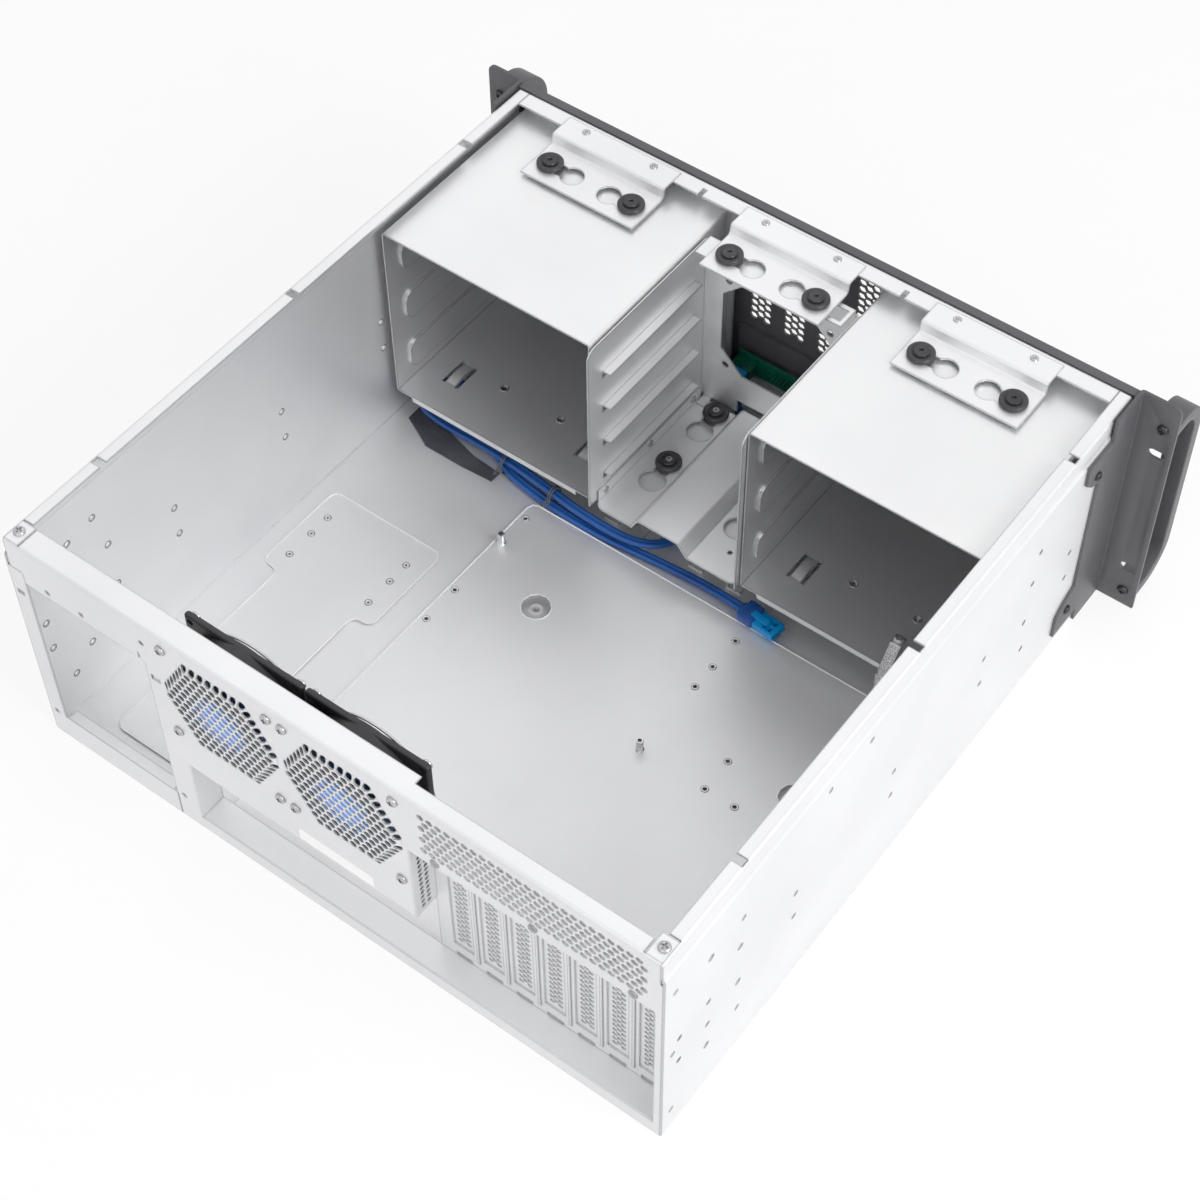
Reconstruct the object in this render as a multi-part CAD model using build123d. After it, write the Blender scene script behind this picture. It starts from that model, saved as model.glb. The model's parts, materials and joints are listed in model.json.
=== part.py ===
from build123d import *
import math
import os

# Empty rackmount server case, 4 units high, lid off.
# Millimetres. The front looks along -Y, up is +Z, and +X is on the right seen from the front.
# A depth is measured forwards from the rear face. Everything stands on z = 0.

# Case body
BODY_W = 430.0          # over the side walls
BODY_D = 440.0          # rear face to the front of the front frame
BODY_H = 174.5          # underside of the floor to the top of the rails
SHEET = 1.2             # steel of the tray, the rear panel and the frames
CAGE_SHEET = 1.0        # steel of the cages and the middle bay
BEND = 2.0              # outside radius of a bend
SEAM = 0.3              # gap between neighbouring edges
JOGGLE = 1.5            # inward step of a side wall under the rail
RAIL_H = 15.5           # top of the rail to the step
RAIL_W = 8.0            # width of the rail on top
RAIL_START = 16.0       # depth at which the rail begins, in front of the corner lug
NOTCH_DEPTHS = (65.5, 222.0, 378.0)

# Rear: power supply opening, fans, vents, slots
PSU_X0 = 117.3
PSU_X1 = 203.3
PSU_Z0 = 20.0
PSU_Z1 = 143.0
ARM_Z0 = 152.0          # underside of the panel arm over the jamb
FAN_SIZE = 80.0
FAN_T = 25.0
FAN_BOLT = 71.5         # screw spacing of an 80 mm fan
FAN_X = (66.5, -15.3)
FAN_TOP = 45.5          # top of the case to the fan centre
FAN_BORE_R = 38.0
HUB_R = 17.0
BLADES = 7
GUARD_HOOPS = (37.0, 22.0)
GRILLE_FLAT = 36.0      # foot of a raised grille: centre to the flat top and bottom
GRILLE_SIDE = 38.5      # centre to the cut corners at the sides
GRILLE_SLOPE_W = 3.7    # width of the sloped border
GRILLE_PITCH = 14.0
GRILLE_HOLE_R = 5.6
GRILLE_RINGS = 2
VENT_TOP = 40.0         # top of the case to the lowest row of vents
VENT_PITCH = 15.4
VENT_X0 = -76.0
VENT_ROWS = 2
VENT_HOLE_R = 5.6
VENT_COLS = 8
RECESS = 17.0           # depth of the stepped recess
RECESS_X0 = -208.8
SLOT_X1 = -58.0
IO_X1 = 100.0
RECESS_Z0 = 10.5
IO_Z1 = 61.0
SLOT_Z1 = 125.6
SLOTS = 7
SLOT_PITCH = 20.32
SLOT_FIRST_X = -66.4
SLOT_OPEN_W = 13.3
SLOT_OPEN_Z0 = 21.0
SLOT_OPEN_Z1 = 121.0
COVER_W = 18.4
COVER_T = 0.8
REAR_HEAD = 2.0         # raised grilles and screw heads stand out of the rear face
PANEL_FLANGE = 15.0

# Floor
BOARD_RISE = 2.0
BOARD_AREA = (-200.0, 97.7, 14.0, 295.0)
PSU_RISE = 1.2
PSU_FOOT = (115.4, 200.8, 161.0, 228.8)
PSU_STEM = (128.8, 187.3, 20.0)
EMBOSS_CORNER = 6.0
EMBOSS_SLOPE = 30       # degrees from upright
STANDOFF_R = 3.2
STANDOFF_H = 9.0
STANDOFFS = ((92.0, 257.3), (-65.4, 185.0))
BOARD_HOLES = (
    (92.0, 280.8), (-65.4, 280.8), (-65.4, 257.3), (-65.4, 239.6), (92.0, 211.9),
    (92.0, 185.0), (-110.8, 208.0), (-111.0, 185.0), (-131.5, 185.0),
)
DISHES = ((45.0, 230.8), (-155.0, 210.0))
DISH_R = 9.6
WALL_HOLES = ((38.4, 130.0), (64.4, 104.0), (64.4, 69.0), (37.8, 42.2))

# Drive cages
CAGE_W = 152.2
CAGE_L = 139.8
BAYS = 3
BAY_PITCH = 42.5        # height of one full-width bay
CAGE_MARGIN = 3.85      # cage sheet to the first bay
CAGE_TOP_GAP = 9.3      # top of the case to the top of the cages, which hang from it
PAD_H = 22.0
PAD_RISE = 1.6

# Middle bay
BAY_W = 107.5
BAY_L = 117.0
BAY_BACK = 28.0         # front frame face to the bay's front plate
CAGE_GAP = 0.75
BAY_RAIL_H = 23.7
GROMMET_FOOT = 2.1
TRAY_RIB = 8.5
SHELF_Z = (48.6, 78.5, 107.8, 137.0)
SHELF_W = 5.6
SHELF_WINDOW = 6.0
KEYHOLE_X = (35.2, -28.0)
BAY_FAN_R = 39.5
BAY_FAN_Z = 101.5

# Clamp behind the right cage
CLAMP_X = -157.0
CLAMP_BACK = 3.6
CLAMP_RISE = 16.0       # bottom of the cage to the top of the strap

# Hanger brackets and grommets
HANGER_W = 82.5
HANGER_TOP = 17.5
HANGER_SHELF = 30.5
HANGER_FRONT = 4.0      # front frame face to the bracket's front edge
GROMMET_X = 30.0        # from the bracket's middle
KEY_BIG_X = 13.7
KEY_BIG_R = 7.4
KEY_NECK_R = 4.4
GROMMET_R = 8.4
GROMMET_H = 3.5

# Front panel, ears and handles
FRONT_T = 1.6
FRONT_DEPTH = 5.4
HEX_PITCH = 12.4
HEX_R = 5.8
HEX_ROWS = 6
HEX_GROUPS = (33.1, 8.5, -16.1, -40.7)
HEX_Z0 = 85.0
IO_PANEL_Z1 = 71.0
IO_PANEL_Z0 = 33.0
IO_PANEL_X = 46.0
EAR_T = 2.0
EAR_OUT = 24.3
EAR_H = 176.5
EAR_FRONT = 6.0         # ear face in front of the front frame
RACK_SLOT_X = 232.55
RACK_SLOT_Z = (33.05, 134.65)
RACK_SLOT_W = 10.5
RACK_SLOT_H = 6.5
HANDLE_REACH = 36.0
HANDLE_W = 15.0
HANDLE_T = 8.5
HANDLE_X = 233.0
HANDLE_Z0 = 8.0
HANDLE_Z1 = 160.0
HANDLE_BEND = 25.0

# Front board: buttons (x, radius), sockets, lamps
BUTTONS = ((-34.0, 6.5), (-16.0, 4.0))
BUTTON_Z = 52.0
BUTTON_TRAVEL = 1.5
USB_X = (6.0, 26.0)
USB_Z = 46.0
LED_X = (-34.0, -16.0)
LED_Z = 64.0
BOARD_T = 1.6

# Lead under the left cage: route of its middle line as x, depth, z, and the places of its ties
LEAD_R = 2.6
TIE_PLACES = ((126.0, 304.8), (86.0, 302.0))
LEAD_ROUTE = (
    (33.0, 420.5, 45.5), (33.0, 420.5, 20.0), (22.0, 420.0, 7.5), (5.5, 402.0, 4.6), (3.5, 355.0, 4.2),
    (4.0, 322.0, 6.0), (18.0, 298.5, 11.0), (58.0, 296.0, 12.6), (98.0, 301.0, 12.6),
    (138.0, 305.0, 12.0), (176.0, 305.5, 11.0), (202.0, 312.0, 9.0), (207.5, 334.0, 6.5),
    (190.0, 347.0, 5.0), (164.0, 332.0, 4.8), (132.0, 307.0, 5.0), (92.0, 300.0, 5.0),
    (48.0, 299.5, 4.4), (4.0, 303.5, 4.4), (-36.0, 303.0, 6.0), (-57.0, 300.5, 7.2),
)

# Worked out from the above
HALF = BODY_W / 2
UPPER = HALF - JOGGLE
RAIL_IN = UPPER - RAIL_W
WALL_IN = HALF - SHEET
UPPER_IN = UPPER - SHEET
JOGGLE_Z = BODY_H - RAIL_H
FAN_Z = BODY_H - FAN_TOP
FRAME_D = BODY_D - SHEET
EAR_D = BODY_D + EAR_FRONT
HANDLE_D = EAR_D + HANDLE_REACH
REAR_Y = (HANDLE_D - REAR_HEAD) / 2
CAGE_H = BAYS * BAY_PITCH + 2 * CAGE_MARGIN
CAGE_Z1 = BODY_H - CAGE_TOP_GAP
CAGE_Z0 = CAGE_Z1 - CAGE_H
CAGE_RAIL_H = CAGE_Z0 - SHEET
CAGE_D0 = FRAME_D - CAGE_L
CAGE_X = BAY_W / 2 + CAGE_GAP + CAGE_W / 2
BAY_D1 = BODY_D - BAY_BACK
BAY_D0 = BAY_D1 - BAY_L
TRAY_Z = SHEET + BAY_RAIL_H + GROMMET_FOOT
HANGER_Z = CAGE_Z1 + GROMMET_FOOT + SHEET
HANGER_D1 = BODY_D - HANGER_FRONT
HANGER_BACK = HANGER_D1 - HANGER_TOP
KEY_D = HANGER_BACK - 17.2
CLAMP_TOP = CAGE_Z0 + CLAMP_RISE
BOARD_D = BODY_D - 7.5
INSET_D = BODY_D + FRONT_DEPTH - 2 * FRONT_T - 1.4
HANDLE_SCREW_Z = (HANDLE_Z0 + HANDLE_T / 2, HANDLE_Z1 - HANDLE_T / 2)
TRAY_GROMMET_D = (BAY_D1 - 60.0, BAY_D1 - 10.0)
LEG_SCREW_PLACES = ((EAR_D - 43.0, 144.3), (EAR_D - 45.0, 25.7))


def rear_plane(depth):
    return Plane((0, REAR_Y - depth, 0), x_dir=(1, 0, 0), z_dir=(0, -1, 0))


def side_plane(x):
    return Plane((x, REAR_Y, 0), x_dir=(0, -1, 0), z_dir=(-1, 0, 0))


def level_plane(z):
    return Plane((0, REAR_Y, z), x_dir=(1, 0, 0), z_dir=(0, 0, -1))


def upright(sketch, depth0, depth1):
    """A sketch in x and z, filled between two depths."""
    plane = rear_plane(depth0)
    return extrude(plane * sketch, depth1 - depth0, dir=plane.z_dir)


def sideways(sketch, x0, x1):
    """A sketch in depth and z, filled between two x."""
    plane = side_plane(x1)
    return extrude(plane * sketch, x1 - x0, dir=plane.z_dir)


def level(sketch, z0, z1):
    """A sketch in x and depth, filled between two heights."""
    plane = level_plane(z1)
    return extrude(plane * sketch, z1 - z0, dir=plane.z_dir)


def area(u0, u1, v0, v1):
    return Pos((u0 + u1) / 2, (v0 + v1) / 2) * Rectangle(u1 - u0, v1 - v0)


def block(x0, x1, depth0, depth1, z0, z1):
    return upright(area(x0, x1, z0, z1), depth0, depth1)


def dot(u, v, radius, sides=6):
    """A small round hole or pin, drawn with a few sides."""
    return Pos(u, v) * RegularPolygon(radius, sides)


def dots(places, radius, sides=6):
    return Sketch() + [dot(u, v, radius, sides) for u, v in places]


def soft(u0, u1, v0, v1, radius, steps=2):
    """A rectangle whose round corners are drawn with a few straight steps."""
    points = []
    for u, v, start in ((u1 - radius, v1 - radius, 0), (u0 + radius, v1 - radius, 90),
                        (u0 + radius, v0 + radius, 180), (u1 - radius, v0 + radius, 270)):
        for step in range(steps + 1):
            turn = math.radians(start + 90 * step / steps)
            points.append((u + radius * math.cos(turn), v + radius * math.sin(turn)))
    return outline(points)


def bent(points, thick, radius=BEND):
    """The section of a bent sheet that lies on the left of its outer line."""
    line = FilletPolyline(*points, radius=radius)
    return make_face(offset(line, amount=thick, side=Side.LEFT, closed=True).edges())


def outline(points):
    return make_face(Polyline(*points, close=True))


def screw(head_r, head_h, shank_r, shank_l):
    """Head upwards on z = 0, shank downwards."""
    head = extrude(RegularPolygon(head_r, 6), head_h)
    shank = extrude(RegularPolygon(shank_r, 4), -shank_l)
    return head + shank


def standing(x, depth, z):
    return Pos(x, REAR_Y - depth, z)


def group(solids):
    return Compound(children=list(solids))


# Tray

def tray_section():
    points = [
        (-RAIL_IN, BODY_H), (-UPPER, BODY_H), (-UPPER, JOGGLE_Z + 2 * JOGGLE), (-HALF, JOGGLE_Z),
        (-HALF, 0), (HALF, 0), (HALF, JOGGLE_Z), (UPPER, JOGGLE_Z + 2 * JOGGLE),
        (UPPER, BODY_H), (RAIL_IN, BODY_H),
    ]
    return bent(points, SHEET)


def raised(tray, shape, rise):
    """Press the floor up inside the outline, with sloping sides and the sheet's own thickness."""
    top = extrude(Plane((0, 0, SHEET)) * shape, rise, taper=EMBOSS_SLOPE)
    hollow = extrude(Plane.XY * shape, rise, taper=EMBOSS_SLOPE)
    return tray + top - hollow


def board_outline():
    x0, x1, depth0, depth1 = BOARD_AREA
    return soft(x0, x1, REAR_Y - depth1, REAR_Y - depth0, EMBOSS_CORNER)


def psu_outline():
    """A wide foot with a narrower stem towards the rear, corners cut at 45 degrees."""
    wide_x0, wide_x1, wide_d0, wide_d1 = PSU_FOOT
    stem_x0, stem_x1, stem_d0 = PSU_STEM
    cut = EMBOSS_CORNER * 0.6
    points = [
        (stem_x0, stem_d0), (stem_x1, stem_d0), (stem_x1, wide_d0), (wide_x1 - cut, wide_d0),
        (wide_x1, wide_d0 + cut), (wide_x1, wide_d1 - cut), (wide_x1 - cut, wide_d1),
        (wide_x0 + cut, wide_d1), (wide_x0, wide_d1 - cut), (wide_x0, wide_d0 + cut),
        (wide_x0 + cut, wide_d0), (stem_x0, wide_d0),
    ]
    return outline([(x, REAR_Y - depth) for x, depth in points])


def chassis_tray():
    tray = upright(tray_section(), 0, FRAME_D)
    tray -= block(-WALL_IN, PSU_X0 - SEAM, 0, SHEET, 0, JOGGLE_Z - 3)
    tray -= block(-UPPER_IN, UPPER, 0, SHEET, ARM_Z0, BODY_H)
    for side in (-1, 1):
        x0, x1 = sorted((side * RAIL_IN, side * UPPER_IN))
        tray -= block(x0, x1, 0, RAIL_START, BODY_H - SHEET, BODY_H)
        tray -= block(x0, x1, 0, 2, BODY_H - 2 * SHEET, BODY_H)
        tray += block(x0 - 3 * (side > 0), x1 + 3 * (side < 0), 2, RAIL_START - 1,
                      BODY_H - 2 * SHEET, BODY_H - SHEET)
        tray -= level(dot(side * (RAIL_IN + 2.6), 8.5, 1.7), BODY_H - 2 * SHEET, BODY_H)
        for depth in NOTCH_DEPTHS:
            tray -= block(x0, x1, depth, depth + 5, BODY_H - SHEET, BODY_H)
    # Rear jamb, folded in from the wall, and the lip under the power supply
    jamb = block(PSU_X1, WALL_IN, 0, SHEET, SHEET, ARM_Z0 - SEAM)
    lip = block(PSU_X0, PSU_X1, 0, SHEET, SHEET, PSU_Z0)
    lip += block(PSU_X0 + 3, PSU_X1 - 2, SHEET, 7, PSU_Z0 - SHEET, PSU_Z0)
    tray += jamb + lip
    tray -= upright(area(207.2, 212.2, 129.3, 132.5), 0, SHEET)
    tray -= upright(dot(209.7, 21, 1.8), 0, SHEET)
    # Board plateau, power supply plateau, two dished spots that sink back to the floor
    tray = raised(tray, board_outline(), BOARD_RISE)
    tray = raised(tray, psu_outline(), PSU_RISE)
    for x, depth in DISHES:
        tray += level(dot(x, depth, DISH_R + 2, 12), 0, SHEET + BOARD_RISE)
        tray -= level(dot(x, depth, DISH_R, 12), SHEET, SHEET + BOARD_RISE)
        tray -= level(dot(x, depth, DISH_R + 1, 12), 0, BOARD_RISE - SHEET)
        tray -= level(dot(x, depth, 2.0), 0, 2 * SHEET)
    tray -= level(dots(BOARD_HOLES + STANDOFFS, 1.8, 4), 0, 2 * SHEET + BOARD_RISE)
    # Screw holes for the wall of the rear fan bracket and for the ears
    tray -= sideways(dots(WALL_HOLES, 2.6), -HALF, -UPPER_IN)
    legs = dots(LEG_SCREW_PLACES, 1.8, 4)
    tray -= sideways(legs, -HALF, -WALL_IN) + sideways(legs, WALL_IN, HALF)
    return tray


def standoffs():
    floor_z = SHEET + BOARD_RISE
    post = extrude(RegularPolygon(STANDOFF_R, 6), STANDOFF_H)
    post -= Pos(0, 0, 2) * extrude(RegularPolygon(1.5, 6), STANDOFF_H)
    post += extrude(RegularPolygon(1.6, 4), -SHEET)
    return group(standing(x, depth, floor_z) * post for x, depth in STANDOFFS)


# Rear panel

def recess_outline(grow=0.0):
    points = [
        (RECESS_X0 - grow, RECESS_Z0 - grow), (IO_X1 + grow, RECESS_Z0 - grow),
        (IO_X1 + grow, IO_Z1 + grow), (SLOT_X1 + grow, IO_Z1 + grow),
        (SLOT_X1 + grow, SLOT_Z1 + grow), (RECESS_X0 - grow, SLOT_Z1 + grow),
    ]
    return outline(points)


def grille_outline(x, inset):
    """A hexagon with flat top and bottom and cut corners at the sides."""
    flat = GRILLE_FLAT - inset
    side = GRILLE_SIDE - inset
    slant = flat / math.sqrt(3)
    edge = (2 * slant - side) * math.sqrt(3)
    points = [(slant, flat), (side, edge), (side, -edge), (slant, -flat)]
    points += [(-u, v) for u, v in reversed(points)]
    return outline([(x + u, FAN_Z + v) for u, v in points])


def raised_grille(x, depth):
    foot = rear_plane(depth) * grille_outline(x, 0)
    face = rear_plane(depth - REAR_HEAD) * grille_outline(x, GRILLE_SLOPE_W)
    return loft([foot, face], ruled=True)


def grille(x):
    """Holes on a staggered pattern on the raised face."""
    places = []
    for row in range(-GRILLE_RINGS, GRILLE_RINGS + 1):
        count = 2 * GRILLE_RINGS + 1 - abs(row)
        for number in range(count):
            u = x + (number - (count - 1) / 2) * GRILLE_PITCH
            places.append((u, FAN_Z + row * GRILLE_PITCH * math.sqrt(3) / 2))
    return dots(places, GRILLE_HOLE_R)


def vent_places():
    base = BODY_H - VENT_TOP
    places = []
    for row in range(VENT_ROWS):
        for column in range(VENT_COLS):
            shift = VENT_PITCH / 2 if row % 2 else 0
            places.append((VENT_X0 - shift - column * VENT_PITCH, base + (row + 0.65) * VENT_PITCH * 0.87))
    return places


def bolt_places(x, z, spacing):
    return [(x + i * spacing / 2, z + j * spacing / 2) for i in (-1, 1) for j in (-1, 1)]


def rear_panel():
    top = BODY_H
    flange = PANEL_FLANGE
    section = bent([(0, 0.01), (0, top), (flange, top)][::-1], SHEET)
    panel = sideways(section, -WALL_IN, UPPER_IN)
    # Outline: narrower beside the rails, open at the power supply
    panel -= block(-WALL_IN, -UPPER_IN, 0, flange, JOGGLE_Z - 3, top)
    panel -= block(PSU_X0, WALL_IN, 0, SHEET, 0, PSU_Z1)
    panel -= block(PSU_X0 - 2 * SEAM, PSU_X0, 0, SHEET, 0, PSU_Z0 + SEAM)
    panel -= block(PSU_X1, WALL_IN, 0, SHEET, PSU_Z1, ARM_Z0)
    panel -= block(-UPPER_IN, SLOT_X1, 10, flange, top - SHEET, top)
    # Corner tabs that lie on the lugs of the tray
    for side in (-1, 1):
        x0, x1 = sorted((side * (RAIL_IN - 3), side * UPPER_IN))
        panel += block(x0, x1, SHEET, flange, top - SHEET, top)
        panel -= block(*sorted((side * (RAIL_IN - 4), side * (RAIL_IN - 3))), SHEET, flange, top - SHEET, top)
        panel -= level(dot(side * (RAIL_IN + 2.6), 8.5, 1.9), top - SHEET, top)
    # Side flange against the wall
    panel += block(-WALL_IN, -WALL_IN + SHEET, SHEET, 10, RECESS_Z0, JOGGLE_Z - 6)
    # Stepped recess: the edges of the opening are folded in
    webs = upright(recess_outline(SHEET) - recess_outline(), SHEET / 2, RECESS)
    panel = panel + webs - upright(recess_outline(), 0, RECESS)
    folded = panel.edges().filter_by(lambda e: on_recess_edge(e))
    panel = fillet(folded, SHEET * 0.9)
    # Openings
    panel -= upright(outline([(PSU_X0, 135), (PSU_X0 + 4, 149), (PSU_X0 + 4, 140)]), 0, SHEET)
    for x in FAN_X:
        panel = panel + raised_grille(x, 0) - raised_grille(x, SHEET)
        panel -= upright(grille(x), -REAR_HEAD, SHEET)
        panel -= upright(dots(bolt_places(x, FAN_Z, FAN_BOLT), 2.2, 8), 0, SHEET)
    panel -= upright(dots(vent_places(), VENT_HOLE_R), 0, SHEET)
    panel -= upright(area(108.6, 114.6, 130.3, 134.3), 0, SHEET)
    small = [(116.6, 159.4), (111.6, 22.3), (185.9, 148.0), (161.6, 148.0)]
    panel -= upright(dots(small, 1.8), 0, SHEET)
    for number in range(SLOTS):
        x = slot_middle(number)
        panel -= level(dot(x, 11.4, 1.7, 4), SLOT_Z1, SLOT_Z1 + SHEET)
    return panel


def on_recess_edge(edge):
    middle = edge.center()
    depth = REAR_Y - middle.Y
    if abs(depth) > 0.01:
        return False
    x, z = middle.X, middle.Z
    inside = RECESS_X0 - 0.1 < x < IO_X1 + 0.1 and RECESS_Z0 - 0.1 < z < SLOT_Z1 + 0.1
    return inside


def slot_middle(number):
    return SLOT_FIRST_X - number * SLOT_PITCH - SLOT_OPEN_W / 2


def slot_wall():
    depth0 = RECESS
    depth1 = RECESS + SHEET
    top = SLOT_Z1 + SHEET / 2
    wall = block(RECESS_X0 - SHEET, SLOT_X1 + SHEET, depth0, depth1, RECESS_Z0 - SHEET, top)
    wall += block(SLOT_X1, SLOT_X1 + SHEET, depth0, depth1 + 6, RECESS_Z0 - SHEET, top)
    for number in range(SLOTS):
        x = slot_middle(number)
        wall -= block(x - SLOT_OPEN_W / 2, x + SLOT_OPEN_W / 2, depth0, depth1, SLOT_OPEN_Z0, SLOT_OPEN_Z1)
        wall -= block(x - 5.2, x + 5.2, depth0, depth1, RECESS_Z0, RECESS_Z0 + 2.5)
        ridge = x - SLOT_PITCH / 2
        if number < SLOTS - 1:
            wall += block(ridge - 0.9, ridge + 0.9, depth0 - 0.7, depth0, SLOT_OPEN_Z0 - 5, SLOT_OPEN_Z1 + 2)
    return wall


def slot_cover(number):
    x = slot_middle(number)
    back = RECESS + SHEET + COVER_T
    tab_z = SLOT_Z1 + SHEET + COVER_T
    front = back - COVER_T
    under = tab_z - COVER_T
    section = outline([(6.5, tab_z), (back, tab_z), (back, 5.0), (front, 5.0), (front, under), (6.5, under)])
    cover = sideways(section, x - COVER_W / 2, x + COVER_W / 2)
    for side in (-1, 1):
        x0, x1 = sorted((x + side * 5.1, x + side * COVER_W / 2))
        cover -= block(x0, x1, RECESS, back, 4, 12)
    cover -= level(dot(x, 11.4, 2.0, 4), SLOT_Z1 + SHEET, tab_z)
    return cover


def rear_screws():
    """Slot cover screws and the two corner screws of the rear panel."""
    small = screw(3.4, 1.8, 1.3, 4.0)
    tab_z = SLOT_Z1 + SHEET + COVER_T
    pieces = [standing(slot_middle(number), 11.4, tab_z) * small for number in range(SLOTS)]
    pieces += [standing(side * (RAIL_IN + 2.6), 8.5, BODY_H) * small for side in (-1, 1)]
    return group(pieces)


# Rear fans

def fan_frame(x):
    depth1 = SHEET + FAN_T
    half = FAN_SIZE / 2
    frame = upright(soft(x - half, x + half, FAN_Z - half, FAN_Z + half, 3, 1), SHEET, depth1)
    corners = area(x - half, x + half, FAN_Z - half, FAN_Z + half) - dot(x, FAN_Z, half + 2, 12)
    frame -= upright(corners, SHEET + 4, depth1 - 4)
    frame -= upright(dot(x, FAN_Z, FAN_BORE_R, 20), SHEET, depth1)
    frame += upright(dot(x, FAN_Z, HUB_R, 12), SHEET, SHEET + 3)
    for turn in range(4):
        arm = Pos(x, FAN_Z) * Rot(0, 0, 45 + 90 * turn) * area(HUB_R - 2, FAN_BORE_R + 1, -2, 2)
        frame += upright(arm, SHEET, SHEET + 3)
    frame -= upright(dot(x, FAN_Z, 2.0, 6), SHEET, SHEET + 3)
    frame -= upright(dots(bolt_places(x, FAN_Z, FAN_BOLT), 2.2, 4), SHEET, depth1)
    return frame


def fan_rotor(x):
    """Hub with a short shaft and seven swept blades."""
    hub = extrude(RegularPolygon(HUB_R - 0.5, 21), 18)
    shaft = extrude(RegularPolygon(1.5, 6), -2.8)
    reach = FAN_BORE_R - 1.4
    low, high, thick = 1.5, 15.0, 1.4
    root = outline([(-6, low), (-1, low + 5), (5, high), (5, high + thick), (-2, low + 5 + thick), (-6, low + thick)])
    tip = outline([(-12, low), (-3, low + 4), (10, high), (10, high + thick), (-4, low + 4 + thick),
                   (-12, low + thick)])
    blade = loft([Plane.XZ.offset(HUB_R - 2.5) * root, Plane.XZ.offset(reach - 3) * tip], ruled=True)
    rotor = hub + shaft
    for turn in range(BLADES):
        rotor += Rot(0, 0, 360 / BLADES * turn) * blade
    # The hub's closed end looks into the case
    return Pos(x, REAR_Y - SHEET - 3.5, FAN_Z) * Rot(90, 0, 0) * rotor


def fan_guard(x):
    depth0 = SHEET + FAN_T
    guard = None
    for radius in GUARD_HOOPS:
        hoop = upright(dot(x, FAN_Z, radius, 12) - dot(x, FAN_Z, radius - 1.6, 12), depth0 + 2.4, depth0 + 3.8)
        guard = hoop if guard is None else guard + hoop
    for turn in (45, 135):
        bar = Pos(x, FAN_Z) * Rot(0, 0, turn) * area(-50.5, 50.5, -0.8, 0.8)
        guard += upright(bar, depth0 + 1.2, depth0 + 2.4)
    for u, v in bolt_places(x, FAN_Z, FAN_BOLT):
        guard += upright(area(u - 2, u + 2, v - 2, v + 2), depth0, depth0 + 2.4)
    return guard


def fan_screws():
    """Heads outside on the rear face, shanks through the panel into the frame."""
    rear = Rot(-90, 0, 0) * screw(3.4, REAR_HEAD, 1.4, SHEET + 9)
    pieces = []
    for x in FAN_X:
        for u, v in bolt_places(x, FAN_Z, FAN_BOLT):
            pieces.append(Pos(u, REAR_Y, v) * rear)
    return group(pieces)


# Front frame

def front_frame():
    top = BODY_H
    section = bent([(BODY_D - 12, top), (BODY_D, top), (BODY_D, SHEET), (BODY_D - 12, SHEET)][::-1], SHEET)
    inner = RAIL_IN - SEAM
    frame = sideways(section, -inner, inner)
    for side in (-1, 1):
        x0, x1 = sorted((side * (inner - 1), side * WALL_IN))
        frame += block(x0, x1, FRAME_D, BODY_D, 4, JOGGLE_Z - 4)
        x0, x1 = sorted((side * (WALL_IN - SHEET), side * WALL_IN))
        frame += block(x0, x1, BODY_D - 12, BODY_D, 4, JOGGLE_Z - 4)
        x0, x1 = sorted((side * 68.9, side * 71.9))
        frame -= block(x0, x1, BODY_D - 12, BODY_D - 6, top - SHEET, top)
        middle = side * CAGE_X
        half = CAGE_W / 2 - 1.6
        frame -= block(middle - half, middle + half, FRAME_D, BODY_D, CAGE_Z0 + 2, CAGE_Z1 - 2)
    half = BAY_W / 2 - 3.5
    frame -= block(-half, half, FRAME_D, BODY_D, CAGE_Z0 + 2, CAGE_Z1 - 2)
    return frame


def hanger_bracket(middle):
    points = [
        (HANGER_D1, BODY_H + SHEET), (HANGER_BACK, BODY_H + SHEET),
        (HANGER_BACK - 1.5, HANGER_Z), (HANGER_BACK - 1.5 - HANGER_SHELF, HANGER_Z),
    ]
    bracket = sideways(bent(points, SHEET), middle - HANGER_W / 2, middle + HANGER_W / 2)
    for side in (-1, 1):
        big = middle + side * KEY_BIG_X
        end = middle + side * GROMMET_X
        key = dot(big, KEY_D, KEY_BIG_R, 12) + dot(end, KEY_D, KEY_NECK_R, 6)
        key += area(min(big, end), max(big, end), KEY_D - KEY_NECK_R, KEY_D + KEY_NECK_R)
        bracket -= level(key, HANGER_Z - SHEET, HANGER_Z)
    return bracket


def grommet_places():
    """Middle point of each grommet, at the underside of the sheet that it is pushed into."""
    places = [(x + side * GROMMET_X, KEY_D, HANGER_Z - SHEET)
              for x in (-CAGE_X, 0, CAGE_X) for side in (-1, 1)]
    places += [(x, depth, TRAY_Z) for x in KEYHOLE_X for depth in TRAY_GROMMET_D]
    return places


def grommets():
    foot = extrude(RegularPolygon(GROMMET_R - 0.6, 6), -GROMMET_FOOT)
    neck = extrude(RegularPolygon(KEY_NECK_R - 0.5, 6), SHEET)
    pieces = []
    for x, depth, z in grommet_places():
        thick = SHEET if z > TRAY_Z + 1 else CAGE_SHEET
        body = foot + neck + Pos(0, 0, thick) * extrude(RegularPolygon(GROMMET_R, 10), GROMMET_H)
        body -= Pos(0, 0, -GROMMET_FOOT) * extrude(RegularPolygon(2.0, 4), 20)
        pieces.append(standing(x, depth, z) * body)
    return group(pieces)


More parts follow.
